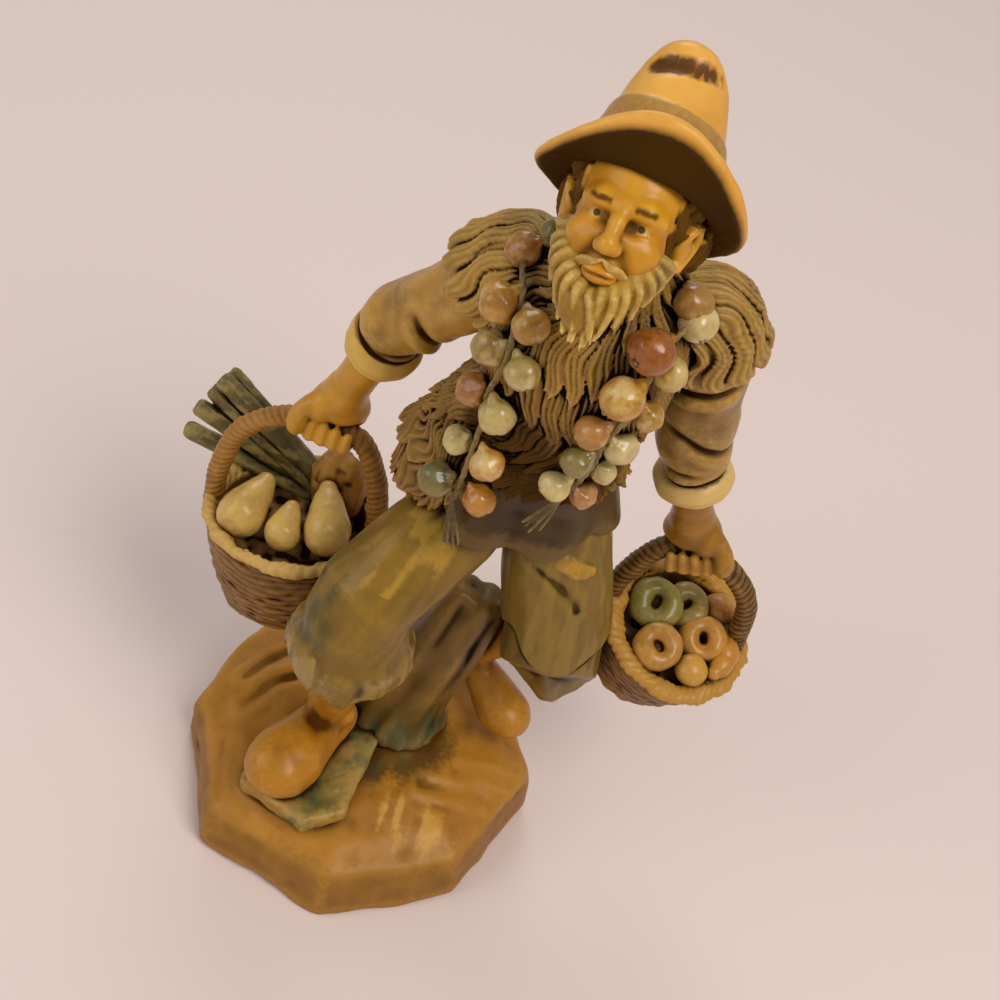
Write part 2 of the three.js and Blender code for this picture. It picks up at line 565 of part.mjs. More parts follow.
// Head frame: origin at the middle of the head, -Y out of the face, tipped up and turned to the right hand
const NECK_LENGTH = 17;
const HEAD_TIP = -0.46;
const HEAD_YAW = -0.19;
const headCentre = along(neck, vec(-0.3, -9, 14.5), NECK_LENGTH);
const headFrame = new THREE.Matrix4().makeRotationZ(HEAD_YAW)
  .multiply(new THREE.Matrix4().makeRotationX(HEAD_TIP)).setPosition(headCentre);
const headPoint = (x, y, z) => vec(x, y, z).applyMatrix4(headFrame);
const HEAD_HALF_DEPTH = HEAD_HALF_WIDTH * 1.16;

piece('head', '#b9862d', 0.42, (grow) => {
  const w = HEAD_HALF_WIDTH;
  const h = HEAD_HEIGHT / 2;
  const ball = (place, half, sides) => ellipsoid(place, half, { frame: headFrame, grow, sides });
  const cranium = ball(vec(0, 1, h * 0.3), vec(w, HEAD_HALF_DEPTH, h * 0.72), 12);
  const jaw = ball(vec(0, -w * 0.3, -h * 0.38), vec(w * 0.8, w * 0.82, h * 0.6), 10);
  const bridge = limb([
    { at: headPoint(0, -HEAD_HALF_DEPTH * 0.8, h * 0.26), w: 1.1 },
    { at: headPoint(0, -HEAD_HALF_DEPTH - 0.9, -h * 0.12), w: 1.5 },
  ], { grow, sides: 6, steps: 1 });
  const noseTip = ball(vec(0, -HEAD_HALF_DEPTH - 0.5, -h * 0.16), vec(2, 1.9, 1.7), 6);
  const ears = [-1, 1].map((side) => ball(vec(side * w * 1.02, 1.4, h * 0.02), vec(1.3, 2.2, 3.4), 6));
  const cheek = vec(w * 0.38, w * 0.34, h * 0.22);
  const cheeks = [-1, 1].map((side) => ball(vec(side * w * 0.46, -w * 0.72, -h * 0.16), cheek, 6));
  const throat = limb([
    { at: headPoint(0, 3, -h * 0.3), w: NECK_RADIUS },
    { at: mix(headCentre, neck, 0.8), w: NECK_RADIUS },
    { at: along(neck, hip.clone().sub(neck), 6), w: NECK_RADIUS * 1.1 },
  ], { grow, sides: 10, steps: 1 });
  return joined([cranium, jaw, bridge, noseTip, throat, ...ears, ...cheeks]);
});

// Full beard: a band under the jaw from ear to ear, running out to a combed tuft below the chin
piece('beard', '#a98f45', 0.5, (grow) => {
  const w = HEAD_HALF_WIDTH;
  const h = HEAD_HEIGHT / 2;
  const band = limb([-1, -0.85, -0.45, 0, 0.45, 0.85, 1].map((side) => ({
    at: headPoint(side * w * 0.92, 0.6 - w * 0.98 * Math.cos(side * 1.35), -h * (0.86 - 0.7 * side ** 2)),
    w: 1.6 + 2.4 * (1 - side * side),
    d: 2.2 + 1.4 * (1 - side * side),
  })), { across: Y_AXIS, grow, sides: 8, steps: 1 });
  const tuft = limb([
    { at: headPoint(0, -w * 0.7, -h * 0.5), w: w * 0.62, d: 3.2 },
    { at: headPoint(0, -w * 0.92, -h * 0.95), w: w * 0.68, d: 4 },
    { at: headPoint(-0.3, -w * 0.86, -h - BEARD_DROP * 0.45), w: w * 0.5, d: 3 },
    { at: headPoint(-0.6, -w * 0.7, -h - BEARD_DROP * 0.8), w: w * 0.16, d: 1 },
  ], { grow, sides: 12, steps: 2, fold: (a) => 0.06 * Math.sin(6 * a) });
  const moustache = [-1, 1].map((side) => limb([
    { at: headPoint(0, -HEAD_HALF_DEPTH * 0.98, -h * 0.4), w: 1.2 },
    { at: headPoint(side * w * 0.34, -HEAD_HALF_DEPTH * 0.93, -h * 0.47), w: 1.5 },
    { at: headPoint(side * w * 0.62, -w * 0.86, -h * 0.72), w: 1.2 },
  ], { grow, sides: 6, steps: 1 }));
  return joined([band, tuft, ...moustache]);
});

// Felt hat pushed back: a tall crown with a pinched tip, a band, and a brim turned up over the brow
const HAT_TIP_BACK = -0.88;
const HAT_LEAN = 0.24;
const BRIM_LIFT = 5.2;
const hatFrame = new THREE.Matrix4().makeRotationY(HAT_LEAN)
  .multiply(new THREE.Matrix4().makeRotationX(HAT_TIP_BACK)).setPosition(headPoint(0.3, 1.5, 3.2));

function hatBend(p) {
  const reach = Math.hypot(p.x, p.y);
  const angle = Math.atan2(p.y, p.x);
  const brimShare = THREE.MathUtils.smoothstep(reach, CROWN_RADIUS, BRIM_RADIUS);
  const front = Math.max(0, -Math.sin(angle));
  const wave = 0.7 * Math.sin(3 * angle + 0.8);
  const rise = THREE.MathUtils.clamp(p.z / CROWN_HEIGHT, 0, 1);
  const turnUp = brimShare * (BRIM_LIFT * front * front + wave - 1);
  return vec(p.x - 1.8 * rise, p.y - 3.2 * rise * rise, p.z + turnUp);
}

piece('hat', '#c98a34', 0.5, (grow) => {
  const inside = BRIM_THICKNESS;
  const crown = (share) => CROWN_RADIUS * (1 - 0.6 * share ** 1.25);
  const outer = [0, 0.08, 0.22, 0.5, 0.78, 0.9].map((share) => {
    const band = share > 0.1 && share < 0.1 + BAND_WIDTH / CROWN_HEIGHT ? BAND_THICKNESS * 0.5 : 0;
    return [crown(share) + band + grow, CROWN_HEIGHT * share + inside];
  });
  const lining = [0.5, 0.15].map((share) => [crown(share) - inside, CROWN_HEIGHT * share]);
  const brimEdge = BRIM_RADIUS - 0.4;
  const profile = [[0, CROWN_HEIGHT * 0.55 - grow], ...lining, [CROWN_RADIUS - inside + 0.4, -grow],
    [brimEdge, -grow], [BRIM_RADIUS + grow, inside * 0.5], [brimEdge, inside + grow],
    [CROWN_RADIUS + 1.6, inside + grow], ...outer,
    [CROWN_RADIUS * 0.26, CROWN_HEIGHT + inside * 0.6 + grow], [0, CROWN_HEIGHT + inside + grow]];
  return turned(profile, { sides: 18, bend: hatBend, frame: hatFrame });
});

// Sheepskin vest: open shell over the tunic, long over the right hip, its hem and breast in combed locks
const locks = (a, t) => 0.018 * Math.sin(9 * a + 9 * t) + 0.012 * Math.sin(5 * a - 12 * t);
const HEM_FADE = 0.36;
const vestHem = (a) => 6 * Math.cos(a) - 6.5 * Math.sin(a) - 2.75 * Math.cos(2 * a) + 0.9 * Math.sin(8 * a);
piece('fleece_vest', '#9d7f4b', 0.65, (grow) => limb(torsoStations.slice(1), {
  sides: 20, steps: 2, grow, fold: locks, drop: (a, t) => vestHem(a) * Math.max(0, 1 - t / HEM_FADE) ** 2,
}));

// Fleece shoulder caps, combed outwards over the sleeves
const RIGHT_CAP_REACH = 0.14;
const LEFT_CAP_REACH = 0.09;
const CAP_FLARE = 9.3;
function shoulderCap(shoulder, elbow, inward, reach, grow) {
  return limb([
    { at: plus(shoulder, vec(inward * 10, -4, 8)), w: 3.5, d: 4 },
    { at: plus(shoulder, vec(inward * 6, -2.5, 6)), w: 7.6, d: 7.4 },
    { at: plus(shoulder, vec(inward * 2.2, -1, 3.6)), w: 9, d: 8.6 },
    { at: plus(mix(shoulder, elbow, reach), vec(inward * 1.2, 0, 1)), w: CAP_FLARE, d: CAP_FLARE },
  ], {
    sides: 18, steps: 2, grow, across: Y_AXIS,
    fold: (a, t) => 0.05 * t * Math.sin(9 * a),
    drop: (a, t) => (t > 0.99 ? 0.8 * Math.sin(9 * a) : 0),
  });
}

piece('right_shoulder_cap', '#b39a66', 0.65,
  (grow) => shoulderCap(rightShoulder, rightElbow, 1, RIGHT_CAP_REACH, grow));
piece('left_shoulder_cap', '#b39a66', 0.65,
  (grow) => shoulderCap(leftShoulder, leftElbow, -1, LEFT_CAP_REACH, grow));

// Strings of onions and garlic: bulbs in two columns along a cord that runs from neck to waist
const degrees = THREE.MathUtils.degToRad;
const rightCordRoute = [[-205, 1.05], [-166, 0.985], [-131, 0.895], [-127, 0.77], [-134, 0.575],
  [-122, 0.385], [-112, 0.22], [-108, 0.1]];
const leftCordRoute = [[45, 1.06], [-19, 0.966], [-56, 0.881], [-59, 0.759], [-65.5, 0.615], [-64, 0.486],
  [-66.5, 0.36], [-71, 0.27]];
function routeCurve(route) {
  return new THREE.CatmullRomCurve3(route.map(([angle, share]) => vec(degrees(angle), share, 0)));
}
const onCord = (curve, t, sideways, lift) => {
  const place = curve.getPoint(t);
  return onTorso(place.x + sideways / CHEST_HALF_DEPTH, place.y, lift);
};

// The cord stands off the clothes by the depth of the fleece
const CORD_STAND = CORD_RADIUS + 1.4;
function cord(curve, grow) {
  const steps = 12;
  const swell = (t) => 1 + 1.6 * THREE.MathUtils.smoothstep(t, 0.85, 1);
  const stations = Array.from({ length: steps + 1 }, (_, i) => ({
    at: onCord(curve, i / steps, 0, CORD_STAND),
    w: CORD_RADIUS * swell(i / steps),
  }));
  return limb(stations, { sides: 6, steps: 1, grow });
}

function bulb(curve, t, sideways, radius, grow) {
  const middle = onCord(curve, t, sideways, radius * 0.85);
  const stalk = onCord(curve, Math.max(0, t - 0.06), 0, CORD_STAND);
  const frame = frameAt(middle, stalk.sub(middle), Y_AXIS);
  const r = radius + grow;
  const outline = [[0, -0.95], [0.7, -0.74], [1, -0.05], [0.72, 0.68], [0, 1.3]];
  const profile = outline.map(([x, z]) => [x * r, z * r]);
  return turned(profile, { sides: 7, frame });
}

const rightCurve = routeCurve(rightCordRoute);
const leftCurve = routeCurve(leftCordRoute);
piece('right_string_cord', '#8a6d3c', 0.7, (grow) => cord(rightCurve, grow));
piece('left_string_cord', '#8a6d3c', 0.7, (grow) => cord(leftCurve, grow));

// Knots from the neck down, each with the sides that carry a bulb; the first of a pair may sit higher
const RIGHT_KNOTS = ['r', 'l', 'lr', 'lr', 'lr', 'lr', 'lr'];
const LEFT_KNOTS = ['', 'lr', 'lr', 'lr', 'lr', 'lr', 'lr'];
const RIGHT_BULB_SIZES = [0.8, 1, 1.16, 1, 1, 1, 1, 1.05, 0.88, 1, 1.12, 1];
const LEFT_BULB_SIZES = [1.04, 1.04, 1.26, 0.95, 1.2, 0.86, 0.95, 0.95, 0.95, 0.74, 0.95, 0.82];
const LEFT_STAGGER = 0.27;
const BULB_COLOURS = ['#8f7b4e', '#a8763f', '#c19a45', '#b68d44', '#b5a06c', '#c3b68e'];
function stringOfBulbs(name, curve, knots, sizes, stagger) {
  let count = 0;
  knots.forEach((sides, knot) => [...sides].forEach((side, order) => {
    const sideways = (side === 'r' ? 1 : -1) * BULB_RADIUS * 0.98;
    const radius = BULB_RADIUS * sizes[count];
    const t = (knot + (order === 0 ? -stagger : stagger)) / knots.length;
    const colour = BULB_COLOURS[count % BULB_COLOURS.length];
    count += 1;
    piece(`${name}_bulb_${count}`, colour, 0.35, (grow) => bulb(curve, t, sideways, radius, grow));
  }));
}
stringOfBulbs('right_string', rightCurve, RIGHT_KNOTS, RIGHT_BULB_SIZES, 0);
stringOfBulbs('left_string', leftCurve, LEFT_KNOTS, LEFT_BULB_SIZES, LEFT_STAGGER);

// Produce in the right basket: aubergines over the front rim, a loaf under the fist and a fan of leeks
function aubergine(frame, x, y, size, aim, grow) {
  const r = AUBERGINE_RADIUS * size + grow;
  const place = vec(x, y, RIM_RADIUS + AUBERGINE_RADIUS * size * 0.55).applyMatrix4(frame);
  const outline = [[0, -1.15], [0.6, -0.98], [0.98, -0.4], [0.97, 0.2], [0.72, 1.05], [0.4, 1.6], [0, 1.8]];
  const profile = outline.map(([x, z]) => [x * r, z * r]);
  return turned(profile, { sides: 10, frame: frameAt(place, aim, X_AXIS) });
}

const auberginePlaces = [
  { x: -8.6, y: -6.5, size: 1.08, aim: vec(0.3, 0.8, 0.42) },
  { x: 0, y: -8.5, size: 0.74, aim: vec(0.05, 0.8, 0.5) },
  { x: 8, y: -5.5, size: 1.16, aim: vec(-0.25, 0.8, 0.45) },
];
auberginePlaces.forEach(({ x, y, size, aim }, i) => {
  piece(`aubergine_${i + 1}`, '#d1b585', 0.35,
    (grow) => aubergine(rightBasketFrame, x, y, size, aim, grow));
});
const loafHalf = vec(6, 4.4, 9);
piece('loaf', '#9a6a2e', 0.6,
  (grow) => ellipsoid(vec(7, 6.5, 5), loafHalf, { frame: rightBasketFrame, grow, sides: 10 }));

piece('leeks', '#696f4d', 0.5, (grow) => {
  const root = (k) => vec(1 + k * 0.6, 7 + 1.1 * (k % 2), 1.5 + k * 0.9).applyMatrix4(rightBasketFrame);
  const aims = [vec(-0.95, 0.16, 0.1), vec(-0.93, 0.1, 0.34), vec(-0.9, 0.22, 0.44),
    vec(-0.86, 0.14, 0.58), vec(-0.86, 0.32, 0.5)];
  return joined(aims.map((aim, k) => limb([0, 1].map((t) => ({
    at: along(root(k), aim, LEEK_LENGTH * t), w: LEEK_RADIUS * (1.15 - 0.15 * t),
  })), { sides: 6, steps: 1, across: Y_AXIS, grow })));
});

// Bread in the left basket: rings, buns and a twist
function breadRing(x, y, size, axis, grow) {
  const place = vec(x, y, RIM_RADIUS + RING_THICKNESS * 0.4).applyMatrix4(leftBasketFrame);
  const ring = new THREE.TorusGeometry(RING_RADIUS * size, RING_THICKNESS * size + grow, 6, 10);
  ring.applyMatrix4(frameAt(place, axis, X_AXIS));
  return solidOf(ring);
}
const breadAxis = vec(0, -0.55, 0.83);
const breadRings = [
  { name: 'bread_ring_1', x: -4, y: -6.4, size: 1, colour: '#c99352' },
  { name: 'bread_ring_2', x: 5, y: -1, size: 1, colour: '#c99352' },
  { name: 'herb_ring_1', x: -6.4, y: 2.4, size: 1.1, colour: '#9c9a66' },
  { name: 'herb_ring_2', x: 0, y: 4.6, size: 0.95, colour: '#9c9a66' },
];
breadRings.forEach(({ name, x, y, size, colour }) => {
  piece(name, colour, 0.5, (grow) => breadRing(x, y, size, breadAxis, grow));
});
function breadBun(x, y, size, grow) {
  const half = vec(1, 1, 0.85).multiplyScalar(BUN_RADIUS * size);
  return ellipsoid(vec(x, y, RIM_RADIUS), half, { frame: leftBasketFrame, grow, sides: 8 });
}
piece('bun_1', '#c99352', 0.5, (grow) => breadBun(4.4, -8, 0.85, grow));
piece('bun_2', '#b57a3c', 0.5, (grow) => breadBun(7.6, 6.4, 1, grow));
piece('bread_twist', '#c48a46', 0.5, (grow) => limb([-1, -0.5, 0, 0.5, 1].map((t) => ({
  at: vec(10.6 - 1.6 * t * t, -2 + 5 * t, RIM_RADIUS + 0.6).applyMatrix4(leftBasketFrame),
  w: 2.6 - 1.2 * t * t,
})), { sides: 6, steps: 2, grow, fold: (a, t) => 0.1 * Math.sin(26 * t) }));

// Scene graph: the base, the figure and the two loads each have a group, and each piece is a named mesh
// that stands at its own middle
const figurine = new THREE.Group();
const groupAt = (place) => {
  const group = new THREE.Group();
  group.position.copy(place);
  figurine.add(group);
  return group;
};
const ground = groupAt(vec(0, 0, 0));
const figure = groupAt(hip);
const rightLoad = groupAt(rightGrip);
const leftLoad = groupAt(leftGrip);
const strings = groupAt(neck);

function groupOf(name) {
  if (/^(rock|stepping|support)/.test(name)) return ground;
  if (/_string_/.test(name)) return strings;
  if (/^(right_basket|aubergine|loaf|leeks)/.test(name)) return rightLoad;
  if (/^(left_basket|bread|herb|bun)/.test(name)) return leftLoad;
  return figure;
}

pieces.forEach(({ name, colour, roughness, body }) => {
  const mesh = body.getMesh();
  const geometry = new THREE.BufferGeometry();
  geometry.setAttribute('position', new THREE.Float32BufferAttribute(mesh.vertProperties, 3));
  geometry.setIndex(new THREE.Uint32BufferAttribute(mesh.triVerts, 1));
  geometry.computeBoundingBox();
  const middle = geometry.boundingBox.getCenter(vec(0, 0, 0));
  geometry.translate(-middle.x, -middle.y, -middle.z);
  const material = new THREE.MeshStandardMaterial({ color: colour, roughness, metalness: 0 });
  const part = new THREE.Mesh(geometry, material);
  part.name = name;
  const group = groupOf(name);
  part.position.copy(middle).sub(group.position);
  group.add(part);
});

export default figurine;
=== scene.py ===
"""Looks of the crib figurine: every solid is resculpted on a fine distance grid, then painted and washed,
with painted shade and painted highlights.
"""
import math

import bpy
import numpy as np
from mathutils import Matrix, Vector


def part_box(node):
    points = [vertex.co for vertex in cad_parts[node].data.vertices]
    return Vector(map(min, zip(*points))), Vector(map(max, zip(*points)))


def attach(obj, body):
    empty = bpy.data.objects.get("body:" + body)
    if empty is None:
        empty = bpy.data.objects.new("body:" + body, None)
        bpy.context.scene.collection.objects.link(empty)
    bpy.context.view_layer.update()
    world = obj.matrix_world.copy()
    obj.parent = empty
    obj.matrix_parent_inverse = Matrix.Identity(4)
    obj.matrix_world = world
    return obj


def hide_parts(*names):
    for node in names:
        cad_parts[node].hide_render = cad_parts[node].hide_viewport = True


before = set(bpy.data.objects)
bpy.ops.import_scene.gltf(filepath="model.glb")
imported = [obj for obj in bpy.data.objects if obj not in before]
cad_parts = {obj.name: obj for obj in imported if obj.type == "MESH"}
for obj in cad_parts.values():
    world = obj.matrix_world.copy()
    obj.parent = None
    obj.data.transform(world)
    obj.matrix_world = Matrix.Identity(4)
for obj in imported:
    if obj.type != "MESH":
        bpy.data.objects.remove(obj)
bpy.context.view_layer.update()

import openvdb as vdb
from mathutils import Matrix, Vector

MM = 0.001
TURN = 2 * math.pi


# Points and frames, in millimetres
def at(x, y, z):
    return np.array([x, y, z], float)


def unit(v):
    v = np.asarray(v, float)
    return v / np.linalg.norm(v)


def mix(a, b, t):
    return a + (b - a) * t


def along(start, aim, length):
    return start + unit(aim) * length


def turn_about(axis, angle):
    return np.array(Matrix.Rotation(angle, 3, axis))


class Place:
    """A local frame: an origin and three axes as columns."""

    def __init__(self, origin, axes):
        self.origin = np.asarray(origin, float)
        self.axes = np.asarray(axes, float)

    def out(self, *local):
        return self.origin + self.axes @ np.array(local, float)

    def inside(self, points):
        return (points - self.origin) @ self.axes

    def polar(self, points):
        """Local points, with their radius and angle round the z axis."""
        q = self.inside(points)
        return q, np.hypot(q[:, 0], q[:, 1]), np.arctan2(q[:, 1], q[:, 0])


def place_along(origin, z_axis, x_hint):
    z = unit(z_axis)
    x = np.asarray(x_hint, float)
    x = unit(x - z * x.dot(z))
    return Place(origin, np.stack([x, np.cross(z, x), z], 1))


def smooth_run(points, count):
    """Points along a centripetal Catmull-Rom curve."""
    p = np.asarray(points, float)
    last = len(p) - 1
    out = []
    for u in np.linspace(0, last, count):
        i = min(int(u), last - 1)
        w = u - i
        b, c = p[i], p[i + 1]
        a = p[i - 1] if i > 0 else 2 * p[0] - p[1]
        d = p[i + 2] if i + 2 <= last else 2 * p[-1] - p[-2]
        s, t, v = (max(np.linalg.norm(q - r), 1e-6) ** 0.5 for q, r in ((b, a), (c, b), (d, c)))
        m = ((b - a) / s - (c - a) / (s + t) + (c - b) / t) * t
        n = ((c - b) / t - (d - b) / (t + v) + (d - c) / v) * t
        out.append(b + m * w + (3 * (c - b) - 2 * m - n) * w ** 2 + (2 * (b - c) + m + n) * w ** 3)
    return np.array(out)


def headings_of(line):
    """Unit direction of a line at each of its points."""
    headings = np.gradient(line, axis=0)
    return headings / np.linalg.norm(headings, axis=1, keepdims=True)


def nearest_of(p, line):
    """Which point of a line is nearest to each point."""
    return np.argmin(((p[:, None, :] - line[None]) ** 2).sum(2), axis=1)


# Skeleton of the CAD model
MOUND_TOP = 19.0
HIP = at(14, 2, MOUND_TOP + 75)
BACK_LENGTH = 63
NECK = along(HIP, at(5.8, -14.5, 61), BACK_LENGTH)
SHOULDERS = mix(HIP, NECK, 0.85)
R_SHOULDER = SHOULDERS + at(-15, 4, -2)
L_SHOULDER = SHOULDERS + at(20, 4, -2)
UPPER_ARM = 31
FOREARM = 23
HAND_DROP = 10
R_ELBOW = along(R_SHOULDER, at(-0.53, 0.36, -0.77), UPPER_ARM)
R_WRIST = along(R_ELBOW, at(-0.32, 0.16, -0.93), FOREARM)
R_GRIP = along(R_WRIST, at(-0.15, 0.1, -0.98), HAND_DROP)
L_ELBOW = along(L_SHOULDER, at(0.13, 0.32, -0.94), UPPER_ARM)
L_WRIST = along(L_ELBOW, at(0.24, 0.18, -0.95), FOREARM)
L_GRIP = along(L_WRIST, at(0.24, 0.15, -0.96), HAND_DROP)
R_HIP = HIP + at(-2, 1, 2)
L_HIP = HIP + at(9, 0, 2)
R_ANKLE = at(-9, -8, MOUND_TOP + 10)
L_ANKLE = at(16.5, 14, MOUND_TOP + 15)
R_KNEE = mix(R_HIP, R_ANKLE, 0.46) + at(-8.5, -14.5, 2.5)
L_KNEE = mix(L_HIP, L_ANKLE, 0.42) + at(9, -8, 0)
L_HEM = L_ANKLE + at(15, -14, 12)
R_BASKET = place_along(R_GRIP + at(-4.8, 0.8, -27.5), at(-0.03, 0.03, 1), at(1, 0, 0))
L_BASKET = place_along(L_GRIP + at(3.4, 0.9, -22.8), at(0.25, -0.32, 0.914), at(1, 0, 0))
R_BASKET_RADIUS = 17
R_BASKET_DEPTH = 20
L_BASKET_RADIUS = 14.4
L_BASKET_DEPTH = 18
HEAD_RISE = 17
HEAD = Place(along(NECK, at(-0.3, -9, 14.5), HEAD_RISE), turn_about("Z", -0.19) @ turn_about("X", -0.46))
HAT = Place(HEAD.out(0.3, 1.5, 3.2), turn_about("Y", 0.24) @ turn_about("X", -0.88))

# Half width and half depth of the waist
WAIST_WIDTH = 21
WAIST_DEPTH = 15.5

# Torso sections: share up the back, shift, half width, half depth
TORSO = [
    (-0.04, at(-0.6, -1.4, 0), 23.0, 15.97),
    (0.16, at(-1.8, -0.2, 0), 21.39, 15.5),
    (0.32, at(-0.6, -0.9, 0), 17.32, 15.5),
    (0.52, at(1.5, -1.1, 0), 14.8, 15.5),
    (0.73, at(1.1, -0.9, 0), 16.8, 15.97),
    (0.89, at(0.5, 0.4, 0), 16.3, 12.87),
    (1.0, at(0, 0, 0), 10.42, 8.68),
    (1.06, at(-0.3, -2, 0), 7.73, 6.98),
]


def on_torso(angle, share, lift):
    """Point on the clothes: 0 at the left side, a quarter turn at the back."""
    rows = np.array([s[0] for s in TORSO])
    i = int(np.clip(np.searchsorted(rows, share), 1, len(rows) - 1))
    t = (share - rows[i - 1]) / (rows[i] - rows[i - 1])
    low, high = TORSO[i - 1], TORSO[i]
    middle = mix(mix(HIP, NECK, low[0]) + low[1], mix(HIP, NECK, high[0]) + high[1], t)
    wide = mix(low[2], high[2], t) + lift
    deep = mix(low[3], high[3], t) + lift
    return middle + at(wide * math.cos(angle), deep * math.sin(angle), 0)


# Noise on a repeating lattice
NOISE_CELLS = 32


def noise(points, size, seed):
    """Smooth noise from -1 to 1 with lumps of a given size."""
    table = np.random.default_rng(seed).uniform(-1, 1, (NOISE_CELLS,) * 3).astype(np.float32)
    q = points / np.asarray(size, float)
    cell = np.floor(q).astype(int)
    f = q - cell
    f = f * f * (3 - 2 * f)
    total = 0
    for corner in np.ndindex(2, 2, 2):
        index = tuple((cell[:, k] + corner[k]) % NOISE_CELLS for k in range(3))
        weight = np.prod([f[:, k] if corner[k] else 1 - f[:, k] for k in range(3)], axis=0)
        total = total + weight * table[index]
    return total


def ramp(x, low, high):
    t = np.clip((x - low) / (high - low), 0, 1)
    return t * t * (3 - 2 * t)


def blurred(array, sigma):
    """Three box passes along each axis, about a Gaussian of sigma cells."""
    half = max(0, int(round((math.sqrt(4 * sigma * sigma + 1) - 1) / 2)))
    if half == 0:
        return array
    for axis in range(3):
        size = array.shape[axis]
        pick = [slice(None)] * 3
        for _ in range(3):
            width = [(0, 0)] * 3
            width[axis] = (half + 1, half)
            total = np.cumsum(np.pad(array, width, mode="edge"), axis=axis, dtype=np.float32)
            pick[axis] = slice(2 * half + 1, 2 * half + 1 + size)
            ahead = total[tuple(pick)]
            pick[axis] = slice(0, size)
            array = (ahead - total[tuple(pick)]) / np.float32(2 * half + 1)
    return array


def sample(array, first, step, points):
    """Trilinear reading of a grid at points."""
    q = points / step - first
    cell = np.clip(np.floor(q).astype(int), 0, np.array(array.shape) - 2)
    f = np.clip(q - cell, 0, 1)
    total = 0
    for corner in np.ndindex(2, 2, 2):
        index = tuple(cell[:, k] + corner[k] for k in range(3))
        weight = np.prod([f[:, k] if corner[k] else 1 - f[:, k] for k in range(3)], axis=0)
        total = total + weight * array[index]
    return total


def soft_min(a, b, soft):
    if soft <= 0:
        return np.minimum(a, b)
    h = np.clip(0.5 + 0.5 * (b - a) / soft, 0, 1)
    return b + (a - b) * h - soft * h * (1 - h)


def cad_mesh(name):
    """A CAD node's points in millimetres and its triangles."""
    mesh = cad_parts[name].data
    points = np.zeros(len(mesh.vertices) * 3, np.float32)
    mesh.vertices.foreach_get("co", points)
    mesh.calc_loop_triangles()
    faces = np.zeros(len(mesh.loop_triangles) * 3, np.int32)
    mesh.loop_triangles.foreach_get("vertices", faces)
    return points.reshape(-1, 3) / MM, faces.reshape(-1, 3).astype(np.uint32)


# Points worked on at a time
BATCH = 300000


